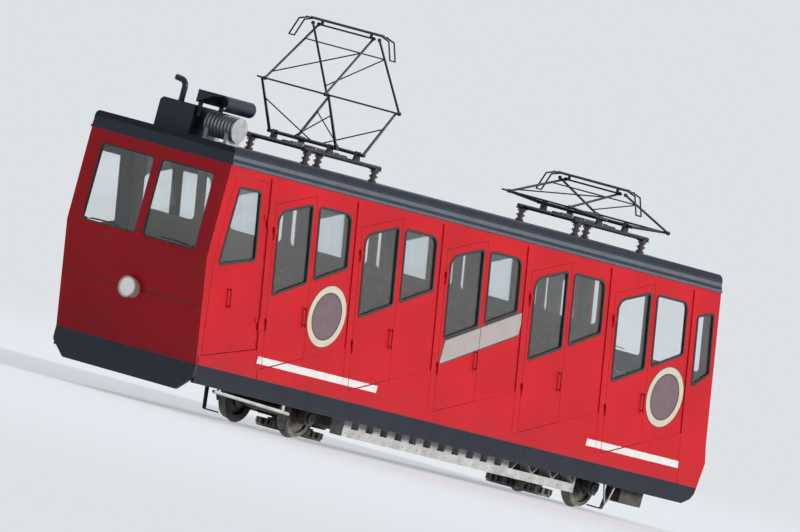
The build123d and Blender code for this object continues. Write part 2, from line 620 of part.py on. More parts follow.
# Wheelsets, each turned in one profile
g = GAUGE / 2
hub_r, rim_r, flange_r = AXLE_R + 42, TREAD_R - 62, TREAD_R + FLANGE
axle = [(AXLE_R, 0), (AXLE_R, g - 40), (hub_r, g - 30), (hub_r, g + 30), (rim_r, g + 44), (rim_r, g - 5)]
tyre = [(flange_r - 6, g - 5), (flange_r, g + 3), (flange_r, g + 12), (TREAD_R + 3, g + 28),
        (TREAD_R - 3, g + WHEEL_W), (TREAD_R - 50, g + WHEEL_W)]
outer = [(rim_r, g + 76), (hub_r, g + 66), (hub_r - 6, g + WHEEL_W + 10), (JOURNAL_R, g + WHEEL_W + 10),
         (JOURNAL_R, BEAM_Y + BEAM_W / 2 - 12)]
half = axle + tyre + outer
profile = [(0, -half[-1][1])] + [(r, -y) for r, y in reversed(half)] + half[1:] + [(0, half[-1][1])]
for k, u in enumerate(AXLES_U):
    save(f"wheelset_{('uphill', 'downhill')[k]}", turned_y(u, AXLE_W, profile))

# Axle boxes: a bored housing with a round cover and two ribbed springs up to the beam
boxes = []
for u in AXLES_U:
    y0, y1 = BEAM_Y - BEAM_W / 2, BEAM_Y + BEAM_W / 2
    shape = [(u - BOX_HALF, AXLE_W - 10), (u - BOX_HALF, AXLE_W + 74), (u + BOX_HALF, AXLE_W + 74),
             (u + BOX_HALF, AXLE_W - 10), (u + 62, AXLE_W - 84), (u - 62, AXLE_W - 84)]
    house = prism(shape, y0, y1) - rod((u, y0 - 5, AXLE_W), (u, y1 - 10, AXLE_W), JOURNAL_R + RUN)
    pieces = [house, rod((u, y1, AXLE_W), (u, y1 + 22, AXLE_W), 62)]
    low, high = AXLE_W + 72, BEAM_FOOT
    step = (high - low) / 6
    ribs = [(0, low)]
    for i in range(6):
        r = 40 if i % 2 == 0 else 28
        ribs += [(r, low + i * step), (r, low + (i + 1) * step)]
    ribs.append((0, high))
    for du in (-68, 68):
        pieces.append(turned_z(u + du, BEAM_Y, ribs))
    far = merge(pieces)
    boxes += [far, mirrored(far)]
save("axle_boxes", *boxes)


# Pinions: teeth, a guide disc below, and a shaft up into the gear case
def pinion():
    q = 2 * math.pi / TEETH
    root, tip = PITCH_R - DEDENDUM, PITCH_R + ADDENDUM
    pts = [(r * math.cos(i * q + f * q), r * math.sin(i * q + f * q))
           for i in range(TEETH) for f, r in ((-0.36, root), (-0.15, tip), (0.15, tip), (0.36, root))]
    gear = extrude(make_face(Polyline(*pts, close=True).edges()), amount=PINION_H)
    disc = Pos(0, 0, -14) * Cylinder(PITCH_R + 6, 28)
    top = SILL_Z - 100.0 - PINION_Z
    shaft = Pos(0, 0, top / 2) * Cylinder(38, top)
    hub = Pos(0, 0, PINION_H + 12) * Cylinder(80, 24)
    return Pos(0, 0, PINION_Z) * merge([gear, disc, shaft, hub])


gear_shape = Rot(0, 0, 90) * pinion()
for kind, u in (("brake", AXLES_U[0] + PINION_U), ("drive", AXLES_U[1] - PINION_U)):
    case_foot = PINION_Z + PINION_H + 24 + 20 - SILL_Z
    flat, full = (PINION_Y + past_axis for past_axis in CASE_SIDE)
    case = cross([(-full, case_foot + 60), (-full, BODY_FOOT - 30), (-flat, BODY_FOOT), (flat, BODY_FOOT),
                  (full, BODY_FOOT - 30), (full, case_foot + 60), (flat, case_foot), (-flat, case_foot)],
                 u - CASE_HALF, u + CASE_HALF)
    for s, side_name in ((-1, "near"), (1, "far")):
        turn = Rot(0, 0, 0) if s > 0 else Rot(0, 0, 180)
        save(f"pinion_{kind}_{side_name}", Pos(X0 + u, s * PINION_Y, 0) * turn * gear_shape)
        case = case - rod((u, s * PINION_Y, case_foot - 1), (u, s * PINION_Y, -92.0), 38 + RUN)
    save(f"gear_case_{kind}", case)

# Traction motor: a ribbed drum hung beside the drive gear case
mu = AXLES_U[1] - PINION_U - CASE_HALF
mw = -MOTOR_R
rib_w, rib_h = MOTOR_RIB
motor = [rod((mu - MOTOR_L, 0, mw), (mu, 0, mw), MOTOR_R - rib_h)]
for du in MOTOR_RIBS:
    u = mu - MOTOR_L + du
    motor.append(rod((u, 0, mw), (u + rib_w, 0, mw), MOTOR_R))
save("traction_motor", merge(motor))

# Comb casings: a rail above, a deep bar below, uprights between, and a zigzag downhill
ca, cb = COMB_U
y0, y1 = -COMB_Y - COMB_W / 2, -COMB_Y + COMB_W / 2
zig = cb - 4.5 * COMB_PITCH
pieces = [box(ca, cb, y0, y1, -26, 0), box(ca, cb, y0, y1, COMB_FOOT, COMB_FOOT + 105)]
u = ca
while u < zig:
    pieces.append(box(u, u + COMB_PITCH - COMB_GAP, y0, y1, COMB_FOOT + 50, -10))
    u += COMB_PITCH
steps = 6
dz = (cb - 40 - zig) / steps
for i in range(steps):
    lo, hi = COMB_FOOT + 100, -18
    wa, wb = (lo, hi) if i % 2 == 0 else (hi, lo)
    ua, ub = zig + 20 + i * dz, zig + 20 + (i + 1) * dz
    pieces.append(prism([(ua - 14, wa), (ua + 14, wa), (ub + 14, wb), (ub - 14, wb)], y0 + 20, y1 - 20))
pieces.append(box(cb - 40, cb, y0, y1, COMB_FOOT + 50, -10))
comb = merge(pieces)
save("comb_casings", comb, mirrored(comb))

# Side bars under the uphill skirts, guards by the wheels and the boxes beyond the downhill axle
bar_y = -INNER - WALL / 2
bar = [rod((BAR_U[0], bar_y, SKIRT_FOOT - 38), (BAR_U[1], bar_y, SKIRT_FOOT - 88), 21)]
for u, low in ((BAR_U[0] + 110, 60), (BAR_U[1] - 130, 99)):
    bar.append(box(u - 25, u + 25, bar_y - 7, bar_y + 7, SKIRT_FOOT - low, SKIRT_FOOT))
bar = merge(bar)
save("side_bars", bar, mirrored(bar))
guards = []
for u, way in ((AXLES_U[0], -1), (AXLES_U[1], 1)):
    a = u + way * (TREAD_R + GUARD_U[0])
    b = u + way * (TREAD_R + GUARD_U[1])
    shape = [(a - 35, BEAM_FOOT), (a + 35, BEAM_FOOT), (b + 28, 70 - SILL_Z), (b - 28, 70 - SILL_Z)]
    plate = prism(shape, -BEAM_Y - 8, -BEAM_Y + 8)
    foot = box(b - 28, b + 28, -BEAM_Y + 6, -GAUGE / 2 - 20, 62 - SILL_Z, 78 - SILL_Z)
    guard = merge([plate, foot])
    guards += [guard, mirrored(guard)]
save("rail_guards", *guards)
cell_a, cell_b, cell_foot = AXLES_U[1] + CELL[0], AXLES_U[1] + CELL[1], CELL[2]
cell = prism([(cell_a, cell_foot), (cell_b, cell_foot), (cell_b, 0), (cell_a, 0)], -CELL[3], -beam_out, 24.0)
save("equipment_boxes", cell, mirrored(cell))

# Roof gear at the uphill end: a chest with a bent breather pipe, a hood with a rolled lip, and
# the ribbed drum of a resistor
ua, ub = CHEST_U
ya, yb = CHEST_Y
w_top = ROOF_TOP + CHEST_H
w_shoulder = w_top - CHEST_ROUND
chest = box(ua, ub, ya, yb, ROOF_TOP, w_shoulder)
lid = cross([(ya, w_shoulder), (yb, w_shoulder), (yb - CHEST_ROUND, w_top), (ya, w_top)], ua, ub)
px, py, pipe_r = ua + PIPE[0], yb - PIPE[1], PIPE[2]
foot = place(px, py, w_top - 20)
path = FilletPolyline(foot, place(px, py, w_top + 240), place(px, py + 150, w_top + 258), radius=85)
pipe = sweep(Plane(origin=foot, z_dir=(0, 0, 1)) * Circle(pipe_r), path=path)
save("roof_box", merge([chest, lid, pipe]))
lip_y, lip_r = HOOD_LIP
hood_w = ROOF_TOP + HOOD_H
lip_w = hood_w - lip_r
hood = cross([(ya, w_top + 40), (ya, hood_w), (lip_y, hood_w), (lip_y, hood_w - 16), (ya - 220, hood_w - 40)],
             ua - 20, ub + 20)
ring = rod((ua - 20, lip_y, lip_w), (ub + 20, lip_y, lip_w), lip_r)
ring = ring - rod((ua - 30, lip_y, lip_w), (ub + 30, lip_y, lip_w), lip_r - 15)
ring = ring - box(ua - 30, ub + 30, lip_y, lip_y + lip_r + 5, lip_w - 1.2 * lip_r, hood_w + 5)
stays = [box(u, u + 14, ya - 60, ya, w_top - 120, w_top + 60) for u in (ua + 40, ub - 60)]
save("roof_hood", merge([hood, ring] + stays))
drum_w, drum_u = ROOF_TOP + DRUM_H, (ua + ub) / 2
drum_y = ya - DRUM_GAP - DRUM_L
fin, core = DRUM_R
ribs = [(0, drum_y)]
for i in range(9):
    y = drum_y + i * DRUM_L / 9
    ribs += [(fin, y), (fin, y + 22), (core, y + 26), (core, y + 46)]
ribs.append((0, drum_y + DRUM_L))
feet = [box(drum_u - 130, drum_u + 130, y, y + 50, ROOF_TOP, drum_w - 60)
        for y in (drum_y + 50, drum_y + 350)]
save("resistor_drum", merge([turned_y(drum_u, drum_w, ribs)] + feet))


# Pantographs: arms built flat along +X from their pivot, then turned into place
def knee(deg):
    a = math.radians(deg)
    return (PAN_SHAFT_U + PAN_LOWER * math.cos(a), PAN_LOWER * math.sin(a))


def apex(deg):
    k = knee(deg)
    return k[1] + math.sqrt(PAN_UPPER ** 2 - k[0] ** 2)


def bar(p, q, r, r_end=None):
    p, q = Vector(*p), Vector(*q)
    if r_end is None:
        return extrude(Plane(origin=p, z_dir=q - p) * Circle(r), amount=(q - p).length)
    return Plane(origin=(p + q) / 2, z_dir=q - p) * Cone(r, r_end, (q - p).length)


def lower_arm():
    y, f = PAN_ARM_Y, 0.62
    pieces = [bar((0, -y - 24, 0), (0, y + 24, 0), PAN_SHAFT_R),
              bar((PAN_LOWER, -y - 70, 0), (PAN_LOWER, y + 70, 0), PAN_PIN_R)]
    pieces += [bar((0, s * y, 0), (PAN_LOWER, s * y, 0), PAN_TUBE_R + 2, PAN_TUBE_R - 2) for s in (-1, 1)]
    pieces += [bar((0, -150, 0), (PAN_LOWER * f, y, 0), 8), bar((0, 150, 0), (PAN_LOWER * f, -y, 0), 8)]
    return merge(pieces)


def upper_arm(y_foot):
    y_top = y_foot - PAN_STEP_Y
    pieces = []
    for s in (-1, 1):
        pieces.append(bar((0, s * y_foot, 0), (PAN_UPPER, s * y_top, 0), PAN_TUBE_R - 3))
        pieces.append(bar((0, s * (y_foot - 15), 0), (0, s * (y_foot + 15), 0), PAN_PIN_R + 13))
        pieces.append(bar((PAN_UPPER, s * (y_top - 13), 0), (PAN_UPPER, s * (y_top + 13), 0), PAN_PIN_R + 11))
    f = 0.74
    y_mid = y_foot - PAN_STEP_Y * f
    pieces += [bar((PAN_UPPER * f, -y_mid, 0), (PAN_UPPER * f, y_mid, 0), 8),
               bar((PAN_UPPER * 0.12, y_foot - PAN_STEP_Y * 0.12, 0), (PAN_UPPER * f, -y_mid, 0), 8)]
    frame = merge(pieces)
    for x in (0.0, PAN_UPPER):
        frame = frame - bar((x, -y_foot - 40, 0), (x, y_foot + 40, 0), PAN_PIN_R + RUN)
    return frame


def head():
    """Contact bar on two brackets over the apex shaft, with a horn bent down at each end."""
    y_pin = PAN_ARM_Y - 2 * PAN_STEP_Y + 28
    out, down = PAN_HORN
    pieces = [bar((0, -y_pin, 0), (0, y_pin, 0), PAN_PIN_R), Pos(0, 0, 53) * Box(150, 2 * PAN_BAR, 20)]
    pieces += [Pos(x, 0, 68) * Box(34, 2 * PAN_BAR - 120, 12) for x in (-45, 45)]
    for s in (-1, 1):
        pieces.append(Pos(0, s * (y_pin - 70), 20) * Box(44, 14, 56))
        for x in (-55, 55):
            a, b = (x, s * (PAN_BAR - 20), 53), (x, s * (PAN_BAR + out * 0.55), 15)
            c = (x, s * (PAN_BAR + out), 53 - down)
            pieces += [bar(a, b, 10), bar(b, c, 10), Pos(*b) * Sphere(10)]
        pieces.append(bar((-55, s * (PAN_BAR + out), 53 - down), (55, s * (PAN_BAR + out), 53 - down), 9))
    return merge(pieces)


def pan_base(cu):
    """Base frame on its feet, with bored bearings for both main shafts and two springs."""
    rw = PAN_W - PAN_RAIL
    past, span = PAN_FOOT_U + 90, PAN_SHAFT_U + 130
    spring_y, spring_up, spring_r = PAN_SPRING
    rails = [rod((cu + d, -PAN_FOOT_Y - 30, rw), (cu + d, PAN_FOOT_Y + 30, rw), 22)
             for d in (-PAN_FOOT_U, -span, span, PAN_FOOT_U)]
    for s in (-1, 1):
        y, ys, ws = s * PAN_FOOT_Y, s * spring_y, rw + spring_up
        rails.append(rod((cu - past, y, rw), (cu + past, y, rw), 26))
        rails.append(rod((cu - span - 10, ys, ws), (cu + span + 10, ys, ws), spring_r))
        for u in (cu - PAN_FOOT_U, cu + PAN_FOOT_U):
            rails.append(box(u - 60, u + 60, y - 50, y + 50, rw - 34, rw - 18))
        for u in (cu - PAN_SHAFT_U, cu + PAN_SHAFT_U):
            plate = [(u - 55, rw), (u + 55, rw), (u + 34, PAN_W + 30), (u - 34, PAN_W + 30)]
            rails.append(prism(plate, y - 20, y + 20))
    base = merge(rails)
    for d in (-PAN_SHAFT_U, PAN_SHAFT_U):
        base = base - rod((cu + d, -600, PAN_W), (cu + d, 600, PAN_W), PAN_SHAFT_R + RUN)
    return base


def insulator(u, y):
    w0, w1 = ROOF_TOP, PAN_W - PAN_RAIL - 34.0
    step = (w1 - w0) / 5
    ribs = [(0, w0)]
    for i in range(5):
        r = 52 if i % 2 == 0 else 34
        ribs += [(r, w0 + i * step), (r, w0 + (i + 1) * step)]
    return turned_z(u, y, ribs + [(0, w1)])


lower, top_bar = lower_arm(), head()
upper_up, upper_dn = upper_arm(PAN_ARM_Y - PAN_STEP_Y), upper_arm(PAN_ARM_Y + PAN_STEP_Y)
bases, feet = [], []
pans = (("uphill", PAN_UPHILL_U, PAN_UP_DEG), ("downhill", DN_U - PAN_DOWNHILL_IN, PAN_DOWN_DEG))
for name, cu, deg in pans:
    (kx, kz), top = knee(deg), apex(deg)
    rise = math.degrees(math.atan2(top - kz, kx))
    x, _, z = place(cu, 0, PAN_W)
    save(f"pan_{name}_lower_up", Pos(x - PAN_SHAFT_U, 0, z) * Rot(0, deg - 180, 0) * lower)
    save(f"pan_{name}_lower_dn", Pos(x + PAN_SHAFT_U, 0, z) * Rot(0, -deg, 0) * lower)
    save(f"pan_{name}_upper_up", Pos(x - kx, 0, z + kz) * Rot(0, -rise, 0) * upper_up)
    save(f"pan_{name}_upper_dn", Pos(x + kx, 0, z + kz) * Rot(0, rise - 180, 0) * upper_dn)
    save(f"pan_{name}_head", Pos(x, 0, z + top) * top_bar)
    bases.append(pan_base(cu))
    feet += [insulator(cu + a * PAN_FOOT_U, b * PAN_FOOT_Y) for a in (-1, 1) for b in (-1, 1)]
save("pan_bases", *bases)
save("pan_insulators", *feet)
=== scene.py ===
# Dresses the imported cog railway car: materials, window seals, livery, small fittings, floor, light, camera.
import math

import bmesh
import bpy
from mathutils import Matrix, Vector


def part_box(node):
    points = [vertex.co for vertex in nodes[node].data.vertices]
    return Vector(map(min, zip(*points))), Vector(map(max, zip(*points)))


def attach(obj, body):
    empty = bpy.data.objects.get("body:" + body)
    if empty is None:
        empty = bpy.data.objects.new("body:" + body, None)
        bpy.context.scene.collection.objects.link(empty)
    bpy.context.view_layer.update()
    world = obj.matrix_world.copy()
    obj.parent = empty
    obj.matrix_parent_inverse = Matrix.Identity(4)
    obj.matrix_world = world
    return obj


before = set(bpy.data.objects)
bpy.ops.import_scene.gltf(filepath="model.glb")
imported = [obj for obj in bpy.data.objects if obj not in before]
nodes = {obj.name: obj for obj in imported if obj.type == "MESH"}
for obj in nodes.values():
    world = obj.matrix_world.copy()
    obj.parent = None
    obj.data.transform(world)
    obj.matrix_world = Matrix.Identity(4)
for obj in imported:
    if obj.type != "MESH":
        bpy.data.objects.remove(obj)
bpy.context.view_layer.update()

# Sizes of the CAD, in metres
X0 = -5.065             # x where u is 0
SILL = 0.505            # z where w is 0
HALF_W = 1.05           # half the width over the side walls
INNER = 1.01            # half the width between them
LEAN = 0.296            # posts and doors lean uphill by this much per unit of height
LEAN_W = 1.35           # w at which a leaning line is named by its u
NOSE_FOOT_U = -0.05     # foot of the uphill end
NOSE_FOOT_W = 0.09
NOSE_OVER = 0.34        # how far that end leans out past its foot
NOSE_RISE = 1.24        # height over which it leans
TAIL_U = 10.43          # u of the downhill end at TAIL_W
TAIL_W = 0.64
TAIL_LEAN = 0.288       # that end leans uphill by this much per unit of height
PART_U = 0.80           # first partition
PITCH = 1.78            # from one partition to the next
COMPARTMENTS = 5
FLOOR_IN = 0.09         # from a partition to the foot of its door
FLOOR_W = 0.228         # w of a stepped floor there
FLOOR_RISE = 0.31       # stepped floors rise downhill by this much per unit of length
AXLES_U = (2.95, 8.93)
LAMP_UP_W = 0.75        # the uphill headlamp, and the groove across that end
LAMP_DN_W = 0.90
SIDES = (("near", -1), ("far", 1))
ALONG = Vector((1, 0, 0))
ASIDE = Vector((0, 1, 0))
UP = Vector((0, 0, 1))


def place(u, y, w):
    """Point by u, downhill of the body's uphill foot, and w, above the sill line."""
    return Vector((X0 + u, y, SILL + w))


def lean_u(line, w):
    """u of a leaning line at a height."""
    return line - LEAN * (w - LEAN_W)


def meet(line, u0, w0, rise):
    """Where a leaning line meets one that rises downhill from (u0, w0)."""
    u = (line - LEAN * (w0 - rise * u0 - LEAN_W)) / (1 + LEAN * rise)
    return (u, w0 + rise * (u - u0))


def tail_u(w):
    """u of the downhill end at a height."""
    return TAIL_U - TAIL_LEAN * (w - TAIL_W)


def nose_u(w):
    """u of the uphill end at a height."""
    return NOSE_FOOT_U - NOSE_OVER * min(1.0, (w - NOSE_FOOT_W) / NOSE_RISE)


# Name, u at a height and way out of each end
ENDS = (("uphill", nose_u, -1), ("downhill", tail_u, 1))


# Shader nodes
def feed(tree, socket, value):
    """Links an output to a socket, or writes a plain value to it."""
    if hasattr(value, "links"):
        tree.links.new(value, socket)
    else:
        socket.default_value = value


def shader_of(look):
    return next(n for n in look.node_tree.nodes if n.type == "BSDF_PRINCIPLED")


def spot_of(look):
    """The object's own coordinates, as a material reads them."""
    return next(n for n in look.node_tree.nodes if n.type == "TEX_COORD").outputs["Object"]


def combine(tree, operation, first, second):
    made = tree.nodes.new("ShaderNodeMath")
    made.operation = operation
    feed(tree, made.inputs[0], first)
    feed(tree, made.inputs[1], second)
    return made.outputs[0]


def noise(tree, spot, scale, detail=4.0):
    made = tree.nodes.new("ShaderNodeTexNoise")
    made.inputs["Scale"].default_value = scale
    made.inputs["Detail"].default_value = detail
    tree.links.new(spot, made.inputs["Vector"])
    return made.outputs["Fac"]


def span(tree, value, start, end, low, high):
    """Turns the range from start to end into the one from low to high."""
    made = tree.nodes.new("ShaderNodeMapRange")
    for socket, given in zip(made.inputs, (value, start, end, low, high)):
        feed(tree, socket, given)
    return made.outputs[0]


def blend(tree, share, first, second):
    """Colour that is first where the share is 0 and second where it is 1."""
    made = tree.nodes.new("ShaderNodeMix")
    made.data_type = "RGBA"
    tree.links.new(share, made.inputs[0])
    for index, colour in ((6, first), (7, second)):
        feed(tree, made.inputs[index], colour if hasattr(colour, "links") else (*colour, 1))
    return made.outputs[2]


def bumped(look, height, strength, distance):
    """Adds a bump to a material, over the one that it has."""
    tree, normal = look.node_tree, shader_of(look).inputs["Normal"]
    made = tree.nodes.new("ShaderNodeBump")
    made.inputs["Strength"].default_value = strength
    made.inputs["Distance"].default_value = distance
    tree.links.new(height, made.inputs["Height"])
    if normal.links:
        tree.links.new(normal.links[0].from_socket, made.inputs["Normal"])
    tree.links.new(made.outputs[0], normal)


# Materials
BUMP_DEPTH = 0.004
COAT_ROUGH = 0.12
WEAR_R = 0.008          # how far worn edges reach


def dusty(tree, spot, base, dust, heights):
    """Colour under patchy dust that thins out from the first height to the second."""
    apart = tree.nodes.new("ShaderNodeSeparateXYZ")
    tree.links.new(spot, apart.inputs[0])
    thick = span(tree, apart.outputs[2], *heights, 0.75, 0.0)
    patches = span(tree, noise(tree, spot, 7.0, 8), 0.35, 0.7, 0.1, 1)
    return blend(tree, combine(tree, "MULTIPLY", thick, patches), base, dust)


def worn(tree, base, wear):
    """Colour with worn edges, where a rounded normal turns away from the flat one."""
    flat = tree.nodes.new("ShaderNodeNewGeometry").outputs["Normal"]
    bevel = tree.nodes.new("ShaderNodeBevel")
    bevel.samples = 4
    bevel.inputs["Radius"].default_value = WEAR_R
    match = tree.nodes.new("ShaderNodeVectorMath")
    match.operation = "DOT_PRODUCT"
    tree.links.new(flat, match.inputs[0])
    tree.links.new(bevel.outputs[0], match.inputs[1])
    return blend(tree, span(tree, match.outputs["Value"], 0.99, 0.90, 0, 0.7), base, wear)


def material(name, colour, rough=0.4, metal=0.0, coat=0.0, vary=0.10, grain=4.0, bump=0.04, fine=90.0,
             speck=0.18, dust=None, dust_z=None, wear=None, **sockets):
    """Paint, metal or plastic: cloudy colour, specks, uneven gloss, fine bump, dust low down, worn edges."""
    look = bpy.data.materials.new(name)
    look.use_nodes = True
    tree = look.node_tree
    tree.nodes.clear()
    out = tree.nodes.new("ShaderNodeOutputMaterial")
    shader = tree.nodes.new("ShaderNodeBsdfPrincipled")
    tree.links.new(shader.outputs[0], out.inputs[0])
    spot = tree.nodes.new("ShaderNodeTexCoord").outputs["Object"]

    dark = tuple(c * (1 - vary) for c in colour)
    light = tuple(min(1, c * (1 + vary)) for c in colour)
    base = blend(tree, span(tree, noise(tree, spot, grain), 0.3, 0.7, 0, 1), dark, light)
    specks = span(tree, noise(tree, spot, fine * 0.6, 6), 0.62, 0.80, 0, speck)
    base = blend(tree, specks, base, tuple(c * 0.55 for c in colour))
    if dust:
        base = dusty(tree, spot, base, dust, dust_z)
    if wear:
        base = worn(tree, base, wear)
    tree.links.new(base, shader.inputs["Base Color"])
    gloss = span(tree, noise(tree, spot, grain * 3, 6), 0.3, 0.7, rough * 0.8, min(1, rough * 1.25))
    tree.links.new(gloss, shader.inputs["Roughness"])
    shader.inputs["Metallic"].default_value = metal
    shader.inputs["Coat Weight"].default_value = coat
    shader.inputs["Coat Roughness"].default_value = COAT_ROUGH
    for socket, value in sockets.items():
        shader.inputs[socket.replace("_", " ")].default_value = value
    if bump:
        bumped(look, noise(tree, spot, fine, 3), bump, BUMP_DEPTH)
    return look


def striped(look, axis, scale, strength, distance=BUMP_DEPTH):
    """Adds slats or ribs to a material: a wave along one axis, in its bump."""
    tree = look.node_tree
    wave = tree.nodes.new("ShaderNodeTexWave")
    wave.bands_direction = axis
    wave.inputs["Scale"].default_value = scale
    tree.links.new(spot_of(look), wave.inputs["Vector"])
    bumped(look, wave.outputs["Fac"], strength, distance)
    return look


def glass_material(name, colour, rough, clear, **sockets):
    return material(name, colour, rough, vary=0.02, grain=1.5, bump=0.004, fine=12.0,
                    Transmission_Weight=clear, IOR=1.45, **sockets)


# Paint outside
RED = material("Red_paint", (0.56, 0.006, 0.014), 0.34, coat=0.05, grain=1.2, bump=0.02, speck=0.06,
               dust=(0.32, 0.022, 0.026), dust_z=(0.45, 0.95), wear=(0.62, 0.06, 0.06),
               Specular_IOR_Level=0.18)
NAVY = material("Navy_paint", (0.006, 0.010, 0.024), coat=0.1, vary=0.18, grain=2.5, speck=0.06,
                dust=(0.030, 0.030, 0.034), dust_z=(0.10, 0.50), wear=(0.04, 0.05, 0.07),
                Specular_IOR_Level=0.35)
SLATE = material("Slate_gutter", (0.085, 0.105, 0.135), 0.45, vary=0.12, grain=6, wear=(0.18, 0.20, 0.23))
SKIRT = material("Slate_skirt", (0.016, 0.021, 0.034), 0.45, vary=0.14, grain=3, speck=0.10,
                 dust=(0.034, 0.034, 0.036), dust_z=(0.30, 0.60), wear=(0.10, 0.12, 0.15),
                 Specular_IOR_Level=0.15)
# Painted shade: a darker copy of the red paint, for the bottom of the groove across the uphill end
GROOVE = material("Groove_shade", (0.10, 0.002, 0.004), 0.5, vary=0.12, grain=6)
ROOF = material("Roof_sheet", (0.012, 0.016, 0.029), 0.5, vary=0.22, grain=1.6, bump=0.06,
                Specular_IOR_Level=0.18)
IVORY = material("Cream_ring", (0.62, 0.57, 0.45), 0.38, vary=0.05, grain=7)
DISC = material("Ring_centre", (0.155, 0.100, 0.115), 0.42, grain=9)
RIM = material("Ring_edge", (0.045, 0.040, 0.036), 0.42, grain=9)
PALE = material("Blank_panel", (0.42, 0.37, 0.37), 0.42, vary=0.05, grain=7)
WHITE = material("White_stripe", (0.78, 0.77, 0.75), 0.38, vary=0.05, grain=7)

# Glass and rubber
GLASS = glass_material("Glass", (0.95, 0.97, 0.97), 0.02, 0.98)
LAMP_GLASS = glass_material("Lamp_glass", (0.93, 0.91, 0.87), 0.20, 0.55, Emission_Strength=0.12)
RUBBER = material("Seal_rubber", (0.012, 0.012, 0.013), 0.55, vary=0.2, grain=20)

# Inside
LINING = material("Inside_lining", (0.15, 0.145, 0.125), 0.5, vary=0.06)
CREAM = material("Interior_panel", (0.26, 0.245, 0.20), 0.45, vary=0.06, grain=3)
WOOD = striped(material("Bench_wood", (0.30, 0.15, 0.065), 0.32, coat=0.4, vary=0.3, grain=14),
               "Y", 9.0, 0.5)
FLOOR = striped(material("Floor_rubber", (0.06, 0.062, 0.066), 0.7, vary=0.2, grain=18),
                "Y", 30.0, 0.35, 0.002)

# Roof and running gear
COMB = material("Comb_grey", (0.58, 0.59, 0.60), 0.45, vary=0.12, grain=5, dust=(0.20, 0.17, 0.14),
                dust_z=(0.10, 0.50), wear=(0.68, 0.68, 0.68))
DRUM = material("Drum_grey", (0.44, 0.45, 0.46), metal=0.4, vary=0.16, grain=9, wear=(0.62, 0.62, 0.62))
GLAZE = material("Brown_glaze", (0.045, 0.018, 0.012), 0.10, coat=0.8, vary=0.2, grain=12, bump=0.01)
STEEL = material("Pantograph_steel", (0.026, 0.028, 0.032), metal=0.3, vary=0.2, grain=10,
                 wear=(0.16, 0.17, 0.18))
CARBON = material("Contact_strip", (0.16, 0.10, 0.07), 0.32, metal=0.7, vary=0.25, grain=30)
WHEEL = material("Wheel_steel", (0.16, 0.145, 0.13), 0.48, metal=0.8, vary=0.28, grain=11, bump=0.08,
                 wear=(0.42, 0.40, 0.37))
DARK = material("Dark_steel", (0.030, 0.030, 0.032), 0.55, metal=0.3, vary=0.3, grain=8, bump=0.10,
                dust=(0.16, 0.13, 0.10), dust_z=(0.0, 0.75), wear=(0.16, 0.15, 0.14))
LAMP = material("Lamp_shell", (0.66, 0.64, 0.56), 0.3, coat=0.4, vary=0.06, grain=9, wear=(0.8, 0.78, 0.7))
CHROME = material("Bright_metal", (0.62, 0.62, 0.63), 0.18, metal=1.0, vary=0.06, grain=18)
ZINC = material("Zinc_bolt", (0.30, 0.30, 0.31), 0.35, metal=0.9, vary=0.15, grain=40)

# Materials of the nodes
BY_NAME = {"cantrails": NAVY, "roof": ROOF, "roof_box": NAVY, "roof_hood": NAVY, "aprons": NAVY,
           "sill_skirt": SKIRT, "comb_casings": COMB, "side_bars": COMB, "resistor_drum": DRUM,
           "benches": WOOD, "floor_steps": FLOOR, "partitions": CREAM, "driver_desks": CREAM,
           "headlamps": LAMP, "pan_insulators": GLAZE}
BY_START = (("door_", RED), ("side_wall", RED), ("end_wall", RED), ("wheelset", WHEEL), ("pinion", WHEEL),
            ("pan_", STEEL))


def look_of(name):
    if name in BY_NAME:
        return BY_NAME[name]
    if "glass" in name:
        return GLASS
    return next((look for start, look in BY_START if name.startswith(start)), DARK)


for name, node in nodes.items():
    node.data.materials.clear()
    node.data.materials.append(look_of(name))


# Outlines of the windows, as (u, w)
PANE_FOOT = 1.095       # w of a door pane's lowest corner
PANE_RISE = 0.40        # window feet rise downhill by this much per unit of length
PANE_TOP = 2.218
DOOR_PANE = (0.976, 1.63)  # leaning lines at the sides of the first door's pane
FIXED_PANE = (1.785, 2.421)  # and of the fixed pane after it
CORNER = 0.032          # radius of the windows' corners
ARCH = 0.125            # and of the outer upper ones
DOOR_ROUND = (CORNER, CORNER, CORNER, ARCH)
FIXED_ROUND = (CORNER, CORNER, ARCH, CORNER)
PLAIN_ROUND = (CORNER,) * 4
END_PANE_Y = (0.05, 0.85)
END_FOOT = 1.37         # w of the uphill end's window feet
END_STEP = 0.07         # the downhill end's window feet lie this much higher
END_TOP = 2.30
END_ROUND = (0.06,) * 4


def pane_foot(line):
    """Where a leaning line meets the slanted feet of the first compartment's windows."""
    return meet(line, lean_u(DOOR_PANE[0], PANE_FOOT), PANE_FOOT, PANE_RISE)


def door_pane():
    low_line, high_line = DOOR_PANE
    high = (lean_u(high_line, PANE_TOP), PANE_TOP)
    return [pane_foot(low_line), pane_foot(high_line), high, meet(low_line, *high, LEAN)]


def fixed_pane():
    first, second = FIXED_PANE
    return [pane_foot(first), pane_foot(second), (lean_u(second, PANE_TOP), PANE_TOP),
            (lean_u(first, PANE_TOP), PANE_TOP)]


def cab_pane():
    up, down, foot, top = -0.125, 0.558, 1.29, 2.208
    foot_rise, top_in = 0.22, 0.015
    return [(up, foot), meet(down, up, foot, foot_rise), (lean_u(down, top), top), (up + top_in, top)]


def side_end_pane():
    """The side wall's last window, by the downhill end."""
    line, foot, top = 9.795, 1.27, 2.168
    foot_step, top_step = 0.19, 0.07
    foot_in, top_in = 0.095, 0.115
    return [(lean_u(line, foot), foot), (tail_u(foot + foot_step) - foot_in, foot + foot_step),
            (tail_u(top) - top_in, top), (lean_u(line, top - top_step), top - top_step)]


